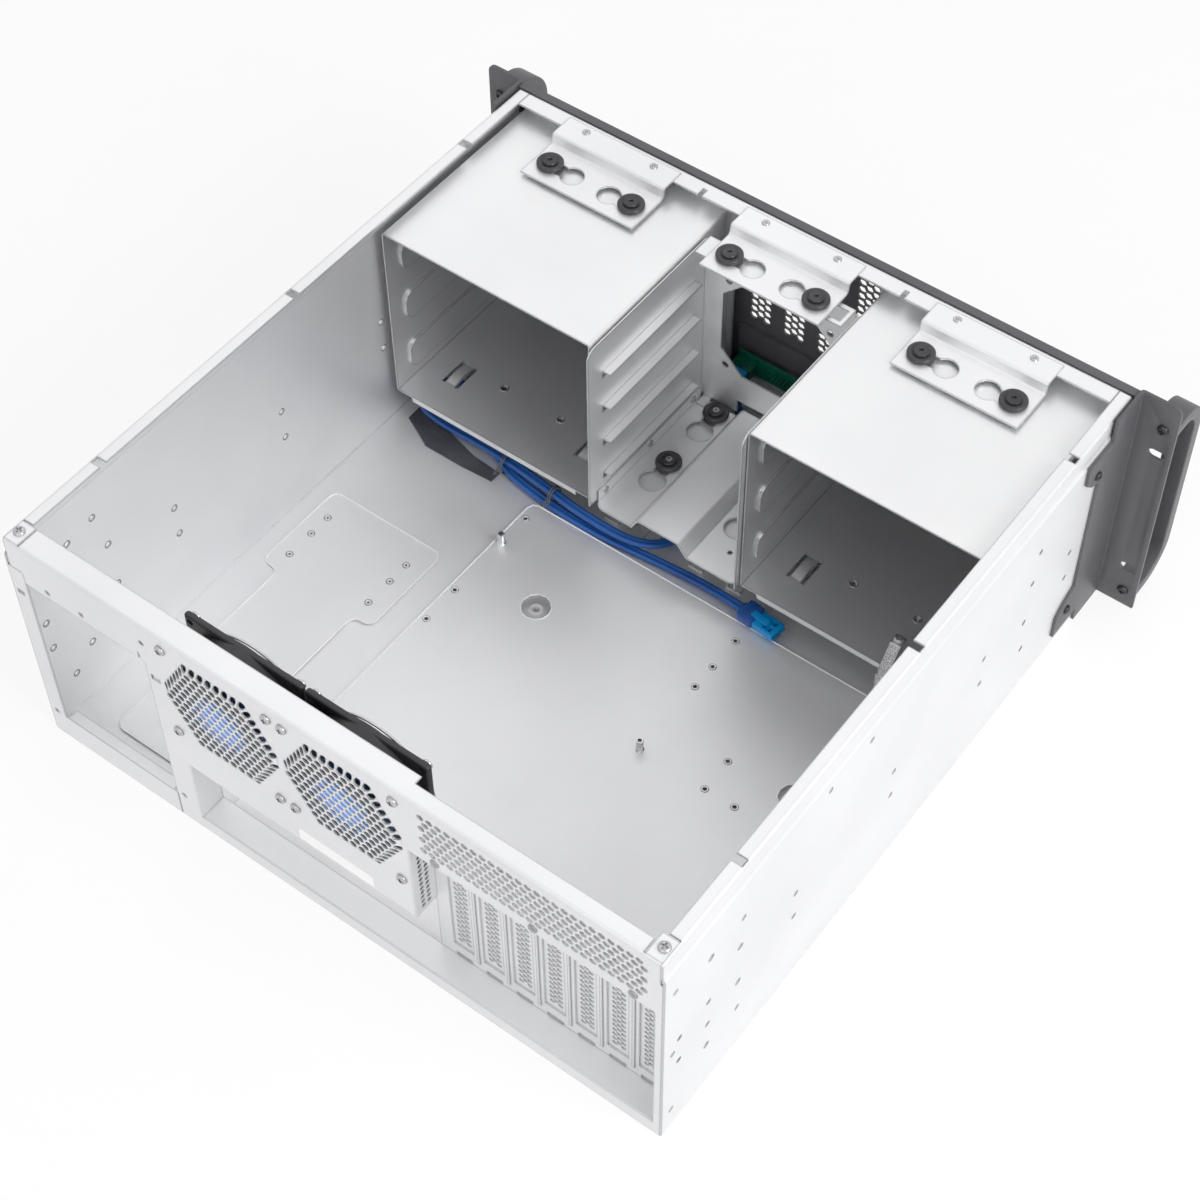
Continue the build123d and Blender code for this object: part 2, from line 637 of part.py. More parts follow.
def grommet_screws():
    pieces = []
    for x, depth, z in grommet_places():
        thick = SHEET if z > TRAY_Z + 1 else CAGE_SHEET
        top = z + thick + GROMMET_H
        length = thick + GROMMET_H + GROMMET_FOOT + 3
        pieces.append(standing(x, depth, top) * screw(4.6, 1.4, 1.3, length))
    return group(pieces)


def rivets():
    """Flat rivet heads on the hanger brackets and along the bottom of the middle bay."""
    head = extrude(RegularPolygon(2.6, 6), 0.8)
    pieces = [standing(x + side * 25, BODY_D - 9.3, BODY_H + SHEET) * head
              for x in (-CAGE_X, 0, CAGE_X) for side in (-1, 1)]
    inside = BAY_W / 2 - 2 * CAGE_SHEET
    for side in (-1, 1):
        for depth in (BAY_D0 + 15, BAY_D0 + 60.7, BAY_D0 + 106):
            pieces.append(standing(side * inside, depth, TRAY_Z + 5) * Rot(0, -90 * side, 0) * head)
    return group(pieces)


# Drive cages

def support_rail(x, top_w, foot_w, height, depth0, depth1):
    """A hat section standing on the floor."""
    half = top_w / 2
    top = SHEET + height
    foot = 2 * SHEET
    outer = half + foot_w
    inner = half - SHEET
    points = [
        (x - outer, SHEET), (x - inner, SHEET), (x - inner, top - SHEET), (x + inner, top - SHEET),
        (x + inner, SHEET), (x + outer, SHEET), (x + outer, foot), (x + half, foot),
        (x + half, top), (x - half, top), (x - half, foot), (x - outer, foot),
    ]
    return upright(outline(points), depth0, depth1)


def bay_rail(x):
    rail = support_rail(x, 20, 9, BAY_RAIL_H, BAY_D0 + 17, BAY_D1)
    holes = dots([(x, depth) for depth in TRAY_GROMMET_D], 1.8, 4)
    return rail - level(holes, SHEET + BAY_RAIL_H - SHEET, SHEET + BAY_RAIL_H)


def cage_rail(side):
    return support_rail(side * CAGE_X, 44, 12, CAGE_RAIL_H, CAGE_D0 + 42, BODY_D - 14)


def guide_pad(z0, z1, depth0, depth1):
    """Outline of one embossed guide, rounded at its rear end."""
    far = PAD_H / 4
    near = far / 3
    return outline([
        (depth1, z0), (depth1, z1), (depth0 + far, z1), (depth0 + near, z1 - near),
        (depth0, z1 - far), (depth0, z0 + far), (depth0 + near, z0 + near), (depth0 + far, z0),
    ])


def drive_cage(side):
    x0 = side * CAGE_X - CAGE_W / 2
    x1 = side * CAGE_X + CAGE_W / 2
    t = CAGE_SHEET
    cage = block(x0, x1, CAGE_D0, FRAME_D, CAGE_Z0, CAGE_Z1)
    cage = fillet(cage.edges().filter_by(Axis.Y), BEND)
    cage -= block(x0 + t, x1 - t, CAGE_D0, FRAME_D, CAGE_Z0 + t, CAGE_Z1 - t)
    # Stiffening lip under the rear edge of the bottom
    cage += block(x0 + 12, x1 - 12, CAGE_D0, CAGE_D0 + t, CAGE_Z0 - 3.5, CAGE_Z0)
    # Embossed guides along both walls
    for bay in range(BAYS):
        z = CAGE_Z0 + CAGE_MARGIN + bay * BAY_PITCH + 5.5
        pad = guide_pad(z, z + PAD_H, CAGE_D0 + 13, FRAME_D - 12)
        slim = area(CAGE_D0 + 15, FRAME_D - 12 - t, z + 2 * t, z + PAD_H - 2 * t)
        cage += sideways(pad, x0 + t, x0 + t + PAD_RISE) + sideways(pad, x1 - t - PAD_RISE, x1 - t)
        cage -= sideways(slim, x0, x0 + PAD_RISE) + sideways(slim, x1 - PAD_RISE, x1)
    # Spring tabs between two slots, and screw holes, in the bottom
    middle = side * CAGE_X
    for end in (-1, 1):
        tab = middle + end * 51.8
        for edge in (-1, 1):
            slot = tab + edge * 5
            cage -= block(slot - 1, slot + 1, CAGE_D0 + 22, CAGE_D0 + 42, CAGE_Z0, CAGE_Z0 + t)
        cage -= level(dot(middle + end * 22.2, CAGE_D0 + 40, 2.2), CAGE_Z0, CAGE_Z0 + t)
    keys = [(middle + end * GROMMET_X, KEY_D) for end in (-1, 1)]
    cage -= level(dots(keys, 1.8), CAGE_Z1 - t, CAGE_Z1)
    return cage


# Middle bay

def bay_wrap():
    t = CAGE_SHEET
    half = BAY_W / 2
    z0 = TRAY_Z + 2
    z1 = CAGE_Z1 - 2.7
    plan_line = [(half, BAY_D0), (half, BAY_D1), (-half, BAY_D1), (-half, BAY_D0)]
    wrap = level(bent(plan_line, t), z0, z1)
    wrap += block(-half + 3, half - 3, BAY_D1 - t, BAY_D1, z1, CAGE_Z1)
    wrap += block(-half + 3, half - 3, BAY_D1 - 16, BAY_D1, CAGE_Z1 - t, CAGE_Z1)
    wrap -= level(area(-48, -38, BAY_D1 - 13, BAY_D1 - 3), CAGE_Z1 - t, CAGE_Z1)
    wrap -= level(dots([(x * GROMMET_X, KEY_D) for x in (-1, 1)], 1.8), CAGE_Z1 - t, CAGE_Z1)
    corner = area(BAY_D0, BAY_D0 + 8, z1 - 8, z1) - dot(BAY_D0 + 8, z1 - 8, 8.3, 16)
    wrap -= sideways(corner, -half, half)
    # Octagonal fan opening with its screw holes
    opening = area(-BAY_FAN_R, BAY_FAN_R, BAY_FAN_Z - BAY_FAN_R, BAY_FAN_Z + BAY_FAN_R)
    opening = chamfer(opening.vertices(), 16)
    wrap -= upright(opening, BAY_D1 - t, BAY_D1)
    screws = Sketch() + [Pos(u, v) * Circle(2.2) for u, v in bolt_places(0, BAY_FAN_Z, FAN_BOLT)]
    wrap -= upright(screws, BAY_D1 - t, BAY_D1)
    # Open foot of the front plate, with one tab bent back onto the tray
    wrap -= block(-half + t, 25.7, BAY_D1 - t, BAY_D1, z0, 39.3)
    wrap += block(44.6, half - 3, BAY_D1 - 10, BAY_D1, TRAY_Z + t, TRAY_Z + 2 * t)
    # Lanced shelves, each over the window that it was cut from
    for z in SHELF_Z:
        for side in (-1, 1):
            wall0, wall1 = sorted((side * half, side * (half - t)))
            shelf0, shelf1 = sorted((side * half, side * (half - t - SHELF_W)))
            wrap -= block(wall0, wall1, BAY_D0 + 14, BAY_D1 - 12, z - SHELF_WINDOW, z - t)
            wrap += block(shelf0, shelf1, BAY_D0 + 14, BAY_D1 - 12, z - t, z)
    return wrap


def bay_tray():
    t = CAGE_SHEET
    half = BAY_W / 2 - t
    lip = TRAY_Z + 10
    points = [
        (-half, lip), (-half, TRAY_Z), (-16, TRAY_Z), (-9.5, TRAY_Z + TRAY_RIB),
        (19.5, TRAY_Z + TRAY_RIB), (24, TRAY_Z), (half, TRAY_Z), (half, lip),
    ]
    tray = upright(bent(points, t, 1.6), BAY_D0 + 3, BAY_D1 - t - BEND)
    for x in KEYHOLE_X:
        for depth in TRAY_GROMMET_D:
            big = depth - 17
            key = dot(x, big, KEY_BIG_R + 0.9, 12) + dot(x, depth, KEY_NECK_R, 6)
            key += area(x - KEY_NECK_R, x + KEY_NECK_R, big, depth)
            tray -= level(key, TRAY_Z, TRAY_Z + t)
    for side in (-1, 1):
        edge = side * half
        corner = area(*sorted((edge, edge - side * 8)), BAY_D0 + 3, BAY_D0 + 11)
        corner -= dot(edge - side * 8, BAY_D0 + 11, 8.3, 16)
        tray -= level(corner, TRAY_Z, TRAY_Z + 20)
    tray -= level(dot(-35, BAY_D0 + 22, 1.6), TRAY_Z, TRAY_Z + t)
    return tray


def cage_clamp():
    """Foot on the floor, post, and a strap that leans against the right cage."""
    x = CLAMP_X
    back = CAGE_D0 - CLAMP_BACK
    post = block(x - 9, x + 5, back, back + SHEET, SHEET, CAGE_Z0 - 4)
    foot = block(x - 9, x + 5, back, CAGE_D0 + 8, SHEET, 2 * SHEET)
    line = [(back, CAGE_Z0 - 6), (back, CAGE_Z0 + 2), (CAGE_D0 + 7, CLAMP_TOP), (CAGE_D0 + 14, CLAMP_TOP)]
    strap = sideways(bent(line[::-1], SHEET, 1.5), x - 3.5, x + 3.5)
    return post + foot + strap - level(dot(x, CAGE_D0 + 10.5, 1.7, 4), CLAMP_TOP - 4, CLAMP_TOP + 2)


def clamp_screw():
    return standing(CLAMP_X, CAGE_D0 + 10.5, CLAMP_TOP) * screw(3.2, 2.6, 1.4, 4)


# Front panel

def hex_places(middle):
    return [(middle, HEX_Z0 + row * HEX_PITCH) for row in range(HEX_ROWS)]


def bay_opening(side, bay, grow=0.0):
    """Front opening of one full-width bay."""
    z = CAGE_Z0 + CAGE_MARGIN + bay * BAY_PITCH
    half = CAGE_W / 2 - 1.6
    return area(side * CAGE_X - half - grow, side * CAGE_X + half + grow, z - grow, z + BAY_PITCH + grow)


def front_panel():
    half = HALF - SEAM
    depth1 = BODY_D + FRONT_DEPTH
    panel = block(-half, half, BODY_D, depth1, 0.3, BODY_H + 0.5)
    panel -= block(-half + FRONT_T, half - FRONT_T, BODY_D, depth1 - FRONT_T, 0.3 + FRONT_T, BODY_H + 0.5 - FRONT_T)
    for side in (-1, 1):
        inside = CAGE_W / 2 - 1.6
        x = side * CAGE_X
        panel -= block(x - inside, x + inside, BODY_D, depth1, CAGE_Z0 + CAGE_MARGIN, CAGE_Z1 - CAGE_MARGIN)
    for middle in HEX_GROUPS:
        panel -= upright(dots(hex_places(middle), HEX_R), depth1 - FRONT_T, depth1)
    # Inset for the buttons and the sockets
    inset = area(-IO_PANEL_X, IO_PANEL_X, IO_PANEL_Z0, IO_PANEL_Z1)
    panel += upright(inset, depth1 - 2 * FRONT_T - 1.4, depth1)
    inner = area(-IO_PANEL_X + FRONT_T, IO_PANEL_X - FRONT_T, IO_PANEL_Z0 + FRONT_T, IO_PANEL_Z1 - FRONT_T)
    panel -= upright(inner, depth1 - FRONT_T - 1.4, depth1)
    through = Sketch() + [dot(x, BUTTON_Z, r + SEAM, 12) for x, r in BUTTONS]
    through += [area(x - 7, x + 7, USB_Z - 3.4, USB_Z + 3.4) for x in USB_X]
    through += dots([(x, LED_Z) for x in LED_X], 1.7, 8)
    panel -= upright(through, BODY_D, depth1)
    return panel


def bay_cover(side, bay):
    """A moulded blank with a rim, pushed into its opening."""
    outer = bay_opening(side, bay, -SEAM)
    rim = bay_opening(side, bay, -SEAM - 1.6)
    depth1 = BODY_D + FRONT_DEPTH
    cover = upright(outer, BODY_D - 6, depth1 - 0.6) - upright(rim, BODY_D - 6, depth1 - 2.4)
    z = CAGE_Z0 + CAGE_MARGIN + bay * BAY_PITCH
    groove = area(side * CAGE_X - 60, side * CAGE_X + 60, z + 5, z + 7)
    return cover - upright(groove, depth1 - 1.4, depth1)


# Front board, buttons, sockets

def button(x, radius):
    """Cap in front of the inset, collar behind it, stem that ends short of the board's switch."""
    front = INSET_D + FRONT_T
    cap = upright(dot(x, BUTTON_Z, radius, 12), INSET_D - 1.0, front + 2.0)
    collar = upright(dot(x, BUTTON_Z, radius + 1.6, 12), INSET_D - 2.0 - SEAM, INSET_D - SEAM)
    return cap + collar


def io_board():
    """Board with its two switches, a pin header and a lead socket."""
    board = block(-46, 40, BOARD_D, BOARD_D + BOARD_T, 36, 58)
    front = INSET_D - 2.0 - 2 * SEAM - BUTTON_TRAVEL
    for x, radius in BUTTONS:
        board += block(x - 3, x + 3, BOARD_D + BOARD_T, front, BUTTON_Z - 3, BUTTON_Z + 3)
    board += block(26, 40, BOARD_D - 9, BOARD_D, 46, 54)
    for number in range(4):
        x = 3 + number * 2.54
        board += block(x - 0.4, x + 0.4, BOARD_D - 8, BOARD_D, 54, 54.8)
    return board


def io_bracket():
    """Angle that carries the board on the front frame."""
    foot = block(-46, 40, BOARD_D - SHEET, FRAME_D, 36 - SHEET, 36)
    back = block(-46, 40, BOARD_D - SHEET, BOARD_D, 36, 42)
    tie = block(-46, 40, FRAME_D - SHEET, FRAME_D, 22, 36)
    return foot + back + tie


def usb_sockets():
    pieces = []
    for x in USB_X:
        shell = block(x - 6.7, x + 6.7, BOARD_D + BOARD_T, INSET_D + FRONT_T + 0.4, USB_Z - 3.1, USB_Z + 3.1)
        mouth = block(x - 6.1, x + 6.1, BOARD_D + BOARD_T + 3, INSET_D + FRONT_T + 0.4, USB_Z - 2.5, USB_Z + 2.5)
        tongue = block(x - 5, x + 5, BOARD_D + BOARD_T + 2, INSET_D, USB_Z - 0.2, USB_Z + 1.6)
        pieces.append(shell - mouth + tongue)
    return group(pieces)


def status_lamps():
    return group(upright(dot(x, LED_Z, 1.5, 8), INSET_D - 3, INSET_D + FRONT_T + 0.5) for x in LED_X)


# Ears and handles

def leg_outline():
    return outline([
        (EAR_D, 0), (416, 0), (416, 11), (389, 11), (389, 28), (396, 35), (407, 41), (407, 135),
        (398, 139), (391, 146), (391, 160), (417, 160), (417, EAR_H), (EAR_D, EAR_H),
    ])


def rack_ear(side):
    """Built for the +X side and mirrored for the other."""
    outer = HALF + EAR_T + EAR_OUT
    line = [(outer, EAR_D), (HALF, EAR_D), (HALF, 389)]
    ear = level(bent(line, EAR_T, 2.6), 0, EAR_H)
    ear = ear & sideways(leg_outline(), HALF - 1, outer + 1)
    corners = [e for e in ear.edges().filter_by(Axis.Y) if e.center().X > outer - 0.1 and e.center().Z > 1]
    ear = fillet(corners, 5)
    for z in RACK_SLOT_Z:
        slot = Pos(RACK_SLOT_X, z) * SlotOverall(RACK_SLOT_W, RACK_SLOT_H)
        ear -= upright(slot, EAR_D - EAR_T, EAR_D)
    ear -= upright(dots([(HANDLE_X, z) for z in HANDLE_SCREW_Z], 2.2, 4), EAR_D - EAR_T, EAR_D)
    ear -= sideways(dots(LEG_SCREW_PLACES, 2.4, 4), HALF, HALF + EAR_T)
    return mirrored(ear, side)


def mirrored(shape, side):
    return shape if side > 0 else mirror(shape, about=Plane.YZ)


def handle(side):
    """One bowed bar, flat on the ear at both ends."""
    line = [(EAR_D, HANDLE_Z1), (HANDLE_D, HANDLE_Z1), (HANDLE_D, HANDLE_Z0), (EAR_D, HANDLE_Z0)][::-1]
    bar = sideways(bent(line, HANDLE_T, HANDLE_BEND), HANDLE_X - HANDLE_W / 2, HANDLE_X + HANDLE_W / 2)
    for z in HANDLE_SCREW_Z:
        bar -= upright(dot(HANDLE_X, z, 2.0, 4), EAR_D, EAR_D + 12)
    return mirrored(bar, side)


def handle_screws():
    pieces = []
    front = Rot(-90, 0, 0) * screw(3.6, 2.0, 1.4, 11)
    for side in (-1, 1):
        for z in HANDLE_SCREW_Z:
            pieces.append(Pos(side * HANDLE_X, REAR_Y - EAR_D + EAR_T, z) * front)
    return group(pieces)


def ear_screws():
    pieces = []
    for side in (-1, 1):
        out = Rot(0, 90 * side, 0) * screw(3.8, 1.8, 1.2, EAR_T + SHEET + 1)
        for depth, z in LEG_SCREW_PLACES:
            pieces.append(Pos(side * (HALF + EAR_T), REAR_Y - depth, z) * out)
    return group(pieces)


# Leads

def route_radii(route):
    """The largest arc that the two runs beside each corner allow."""
    radii = []
    for before, here, after in zip(route, route[1:], route[2:]):
        one = Vector(*here) - Vector(*before)
        two = Vector(*after) - Vector(*here)
        turn = math.radians(one.get_angle(two))
        radii.append(0.45 * min(one.length, two.length) / math.tan(turn / 2))
    return radii


def lead_path():
    points = [(x, REAR_Y - depth, z) for x, depth, z in LEAD_ROUTE]
    return points, FilletPolyline(*points, radius=route_radii(points))


def usb_lead():
    points, path = lead_path()
    start = Plane(origin=points[0], z_dir=Vector(*points[1]) - Vector(*points[0]))
    section = RegularPolygon(LEAD_R, 4)
    lead = sweep(start * section, path=path)
    print("lead radii", [round(radius, 1) for radius in route_radii(points)])
    print("lead volume", round(lead.volume), "section times length", round(section.area * path.length))
    print("lead length", round(path.length))
    return lead


def lead_plug():
    """Flat plug with its latch, on the end of the lead."""
    points, path = lead_path()
    end = Vector(*points[-1])
    along = (end - Vector(*points[-2])).normalized()
    frame = Plane(origin=end, z_dir=along, x_dir=Vector(0, 0, 1).cross(along))
    body = frame * (Pos(0, 0, 6) * Box(15, 6.4, 12))
    tip = frame * (Pos(0, -0.6, 20) * Box(12.4, 5, 16))
    latch = frame * (Pos(0, 3.4, 10) * Box(5, 1.2, 14))
    return body + tip + latch


def board_plug():
    """Plug on the board end of the lead."""
    x, depth, z = LEAD_ROUTE[0]
    return block(27, 39, BOARD_D - 15, BOARD_D - 9, z, z + 8.5)


def ribbon():
    """Flat bundle of the switch leads, folded once under the left cage."""
    points = [(204, 318), (150, 303), (128, 301.5), (128, 292.5), (152, 291), (180, 291), (204, 303)]
    flat = outline(points)
    return level(flat, SHEET, SHEET + 1.2)


def cable_ties():
    """Grey wire ties round both runs of the lead."""
    pieces = []
    for x, depth in TIE_PLACES:
        outer = soft(depth - 6.2, depth + 6.2, SHEET, 16.6, 3, 1)
        inner = soft(depth - 5.6, depth + 5.6, SHEET + 0.5, 16.0, 2.4, 1)
        pieces.append(sideways(outer - inner, x - 1, x + 1))
    return group(pieces)


def main():
    parts = {
        "chassis_tray": chassis_tray(),
        "standoffs": standoffs(),
        "rear_panel": rear_panel(),
        "slot_wall": slot_wall(),
        "rear_screws": rear_screws(),
        "fan_screws": fan_screws(),
        "front_frame": front_frame(),
        "front_panel": front_panel(),
        "hanger_bracket_left": hanger_bracket(CAGE_X),
        "hanger_bracket_middle": hanger_bracket(0),
        "hanger_bracket_right": hanger_bracket(-CAGE_X),
        "rivets": rivets(),
        "grommets": grommets(),
        "grommet_screws": grommet_screws(),
        "bay_wrap": bay_wrap(),
        "bay_tray": bay_tray(),
        "bay_rail_left": bay_rail(KEYHOLE_X[0]),
        "bay_rail_right": bay_rail(KEYHOLE_X[1]),
        "cage_clamp": cage_clamp(),
        "clamp_screw": clamp_screw(),
        "io_board": io_board(),
        "io_bracket": io_bracket(),
        "usb_sockets": usb_sockets(),
        "status_lamps": status_lamps(),
        "power_button": button(*BUTTONS[0]),
        "reset_button": button(*BUTTONS[1]),
        "handle_screws": handle_screws(),
        "ear_screws": ear_screws(),
        "usb_lead": usb_lead(),
        "lead_plug": lead_plug(),
        "board_plug": board_plug(),
        "ribbon": ribbon(),
        "cable_ties": cable_ties(),
    }
    for number in range(SLOTS):
        parts[f"slot_cover_{number + 1}"] = slot_cover(number)
    for number, x in enumerate(FAN_X, start=1):
        parts[f"fan_frame_{number}"] = fan_frame(x)
        parts[f"fan_rotor_{number}"] = fan_rotor(x)
        parts[f"fan_guard_{number}"] = fan_guard(x)
    for side, name in ((1, "left"), (-1, "right")):
        parts[f"drive_cage_{name}"] = drive_cage(side)
        parts[f"cage_rail_{name}"] = cage_rail(side)
        parts[f"rack_ear_{name}"] = rack_ear(side)
        parts[f"handle_{name}"] = handle(side)
        for bay in range(BAYS):
            parts[f"bay_cover_{name}_{bay + 1}"] = bay_cover(side, bay)
    os.makedirs("parts", exist_ok=True)
    for name, shape in parts.items():
        export_step(shape, f"parts/{name}.step")


main()
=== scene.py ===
# %% [markdown]
# # An open rackmount case, dressed around its CAD frame
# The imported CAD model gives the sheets, cages, fans and screws in their real places.
# This notebook loads it, finds the camera, and then takes the case piece by piece: sheets that the
# photo shows finely punched are copied from the CAD and punched again, small turned and moulded
# pieces are modelled new, and every piece gets a procedural finish.

import json
import math
from collections import Counter

import bpy
from mathutils import Matrix, Vector


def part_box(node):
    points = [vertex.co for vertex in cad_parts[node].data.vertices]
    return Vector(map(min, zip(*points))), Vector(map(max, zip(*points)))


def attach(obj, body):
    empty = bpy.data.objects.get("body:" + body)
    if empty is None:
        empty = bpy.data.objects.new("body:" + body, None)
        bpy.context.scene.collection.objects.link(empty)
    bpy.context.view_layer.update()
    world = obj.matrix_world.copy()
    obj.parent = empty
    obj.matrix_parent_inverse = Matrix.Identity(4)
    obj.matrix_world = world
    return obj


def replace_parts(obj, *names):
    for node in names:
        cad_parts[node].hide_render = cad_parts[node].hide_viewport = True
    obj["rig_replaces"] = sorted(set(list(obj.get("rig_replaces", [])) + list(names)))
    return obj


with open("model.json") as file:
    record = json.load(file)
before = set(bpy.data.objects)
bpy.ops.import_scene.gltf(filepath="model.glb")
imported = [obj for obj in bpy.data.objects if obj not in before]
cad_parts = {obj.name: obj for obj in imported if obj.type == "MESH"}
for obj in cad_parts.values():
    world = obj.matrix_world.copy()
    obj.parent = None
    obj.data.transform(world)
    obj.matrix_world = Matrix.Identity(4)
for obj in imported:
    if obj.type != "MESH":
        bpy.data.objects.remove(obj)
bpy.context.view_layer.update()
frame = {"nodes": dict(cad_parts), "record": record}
nodes = frame["nodes"]
MM = 0.001
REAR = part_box("chassis_tray")[1].y
print("loaded", len(nodes), "nodes; rear face at", round(REAR, 4))

# %% [markdown]
# ## Camera first
# The view was solved from edges of known length, so it is given as a place, three angles and a lens.
# A product photo like this one is taken from far away with a long lens: lines stay nearly parallel.
# The shift moves the picture on the sensor without turning the camera.

# %% Camera
LENS = 74.908
SENSOR = 36.0
CAMERA_PLACE = (-0.53667, 0.70748, 1.18790)
CAMERA_ANGLES = (38.74885, -0.38726, -143.80197)
CAMERA_SHIFT = (-0.0374, -0.0415)
CAMERA_REACH = 20.0
camera_data = bpy.data.cameras.new("camera")
camera_data.lens = LENS
camera_data.sensor_width = SENSOR
camera_data.shift_x, camera_data.shift_y = CAMERA_SHIFT
camera_data.clip_end = CAMERA_REACH
camera = bpy.data.objects.new("camera", camera_data)
camera.location = CAMERA_PLACE
camera.rotation_euler = [math.radians(angle) for angle in CAMERA_ANGLES]
bpy.context.scene.collection.objects.link(camera)
bpy.context.scene.camera = camera
bpy.context.scene.view_settings.view_transform = "Standard"
print("camera at", CAMERA_PLACE, "lens", LENS)

# %% [markdown]
# ## The blue lead
# A front lead lies folded under the left cage and ends in its plug on the floor.
# It is a flat twin lead, two round strands side by side, so the curve gets a figure-eight outline as
# its bevel shape and a Z-up twist, which keeps the flat side down as the real one lies.
# The line itself is one NURBS spline through the route of the CAD tube.

# %% Lead
LEAD_ROUTE = (
    (33.0, 420.5, 45.5), (33.0, 420.5, 20.0), (22.0, 420.0, 7.5), (5.5, 402.0, 4.6), (3.5, 355.0, 4.2),
    (4.0, 322.0, 6.0), (18.0, 300.0, 11.0), (58.0, 298.0, 12.6), (98.0, 303.2, 12.6),
    (138.0, 307.2, 12.0), (176.0, 306.5, 11.0), (202.0, 312.0, 9.0), (207.5, 334.0, 6.5),
    (190.0, 347.0, 5.0), (164.0, 332.0, 4.8), (132.0, 304.8, 5.0), (92.0, 297.8, 5.0),
    (48.0, 297.0, 4.4), (4.0, 301.5, 4.4), (-36.0, 303.0, 6.0), (-57.0, 300.5, 7.2),
)
LEAD_WIDTH = 6.4
STRAND_R = 1.7
STRAND_ANGLES = range(-140, 141, 35)


def at(x, depth, z):
    """A place given as in the CAD: across, forwards from the rear face, and up, in millimetres."""
    return Vector((x * MM, REAR - depth * MM, z * MM))


def twin_outline():
    """A figure of eight: the outlines of two strands that touch."""
    data = bpy.data.curves.new("twin_outline", "CURVE")
    spline = data.splines.new("POLY")
    middle = (LEAD_WIDTH / 2 - STRAND_R) * MM
    around = []
    for side in (1, -1):
        for angle in STRAND_ANGLES:
            turn = math.radians(angle)
            across = side * (middle + STRAND_R * MM * math.cos(turn))
            around.append((across, side * STRAND_R * MM * math.sin(turn)))
    spline.points.add(len(around) - 1)
    for point, place in zip(spline.points, around):
        point.co = (*place, 0.0, 1.0)
    spline.use_cyclic_u = True
    outline = bpy.data.objects.new("twin_outline", data)
    bpy.context.scene.collection.objects.link(outline)
    return outline


def route_curve(name, route):
    data = bpy.data.curves.new(name, "CURVE")
    data.dimensions = "3D"
    data.resolution_u = 10
    data.use_fill_caps = True
    data.twist_mode = "Z_UP"
    spline = data.splines.new("NURBS")
    spline.points.add(len(route) - 1)
    for point, place in zip(spline.points, route):
        point.co = (*at(*place), 1.0)
    spline.order_u = 3
    spline.use_endpoint_u = True
    curve = bpy.data.objects.new(name, data)
    bpy.context.scene.collection.objects.link(curve)
    return curve


lead = route_curve("usb_lead_line", LEAD_ROUTE)
lead.data.bevel_mode = "OBJECT"
lead.data.bevel_object = twin_outline()
print("lead with", len(LEAD_ROUTE), "route points")

# %% [markdown]
# ## Studio
# A pale floor and a white world. The world is split by ray: what the camera, a reflection or a
# see-through piece looks at is white, and the light that falls on matt surfaces is weaker, so
# colours come out about as they are written. Four large soft lamps give the sheets their slow
# gradients, the strongest from the side that the inner wall faces. Small lamps would give hard spots
# on bare metal. Shader nodes are always made by the same two helpers.

# %% World
WORLD_LIGHT = 0.62


def new_node(tree, kind, **settings):
    node = tree.nodes.new("ShaderNode" + kind)
    for key, value in settings.items():
        setattr(node, key, value)
    return node


def worked_out(tree, operation, *values):
    """A Math node; each value is a number or the output of another node."""
    node = new_node(tree, "Math", operation=operation)
    for socket, value in zip(node.inputs, values):
        if isinstance(value, float):
            socket.default_value = value
        else:
            tree.links.new(value, socket)
    return node.outputs[0]


def looked_at(tree):
    """1 for what the camera, a see-through piece or a reflection looks at, and 0 for light on matt faces."""
    ray = new_node(tree, "LightPath")
    seen = worked_out(tree, "MAXIMUM", ray.outputs["Is Camera Ray"], ray.outputs["Is Transmission Ray"])
    return worked_out(tree, "MAXIMUM", seen, ray.outputs["Is Glossy Ray"])


world = bpy.data.worlds.new("studio")
bpy.context.scene.world = world
world.use_nodes = True
sky = world.node_tree
sky.nodes.clear()
strength = new_node(sky, "MapRange")
strength.inputs["To Min"].default_value = WORLD_LIGHT
strength.inputs["To Max"].default_value = 1.0
background = new_node(sky, "Background")
background.inputs["Color"].default_value = (1.0, 1.0, 1.0, 1.0)
world_out = new_node(sky, "OutputWorld")
sky.links.new(looked_at(sky), strength.inputs["Value"])
sky.links.new(strength.outputs["Result"], background.inputs["Strength"])
sky.links.new(background.outputs[0], world_out.inputs[0])
print("white world, light", WORLD_LIGHT)

# %% [markdown]
# The floor is one big plane just under the case, so that it never shares a plane with the sheet. Each
# lamp is a square area lamp turned towards the middle of the case.

# %% Floor and lamps
FLOOR_SIZE = 16.0
FLOOR_Z = -0.0006
LAMPS = (
    ("key_lamp", (-1.6, 0.2, 1.35), 0.9, 22.0),
    ("rear_lamp", (-0.3, 1.7, 1.3), 1.0, 6.0),
    ("top_lamp", (0.95, -1.0, 2.0), 1.5, 2.6),
    ("side_lamp", (-1.9, -0.9, 0.7), 1.2, 1.0),
)
bpy.ops.object.select_all(action="DESELECT")
bpy.ops.mesh.primitive_plane_add(size=FLOOR_SIZE, location=(0.0, 0.0, FLOOR_Z))
floor = bpy.context.object
floor.name = "floor"


def soft_lamp(name, place, size, power):
    data = bpy.data.lights.new(name, "AREA")
    data.shape = "SQUARE"
    data.size = size
    data.energy = power
    lamp = bpy.data.objects.new(name, data)
    lamp.location = place
    lamp.rotation_euler = (-Vector(place)).to_track_quat("-Z", "Y").to_euler()
    bpy.context.scene.collection.objects.link(lamp)


for lamp in LAMPS:
    soft_lamp(*lamp)
print("floor and", len(LAMPS), "lamps")

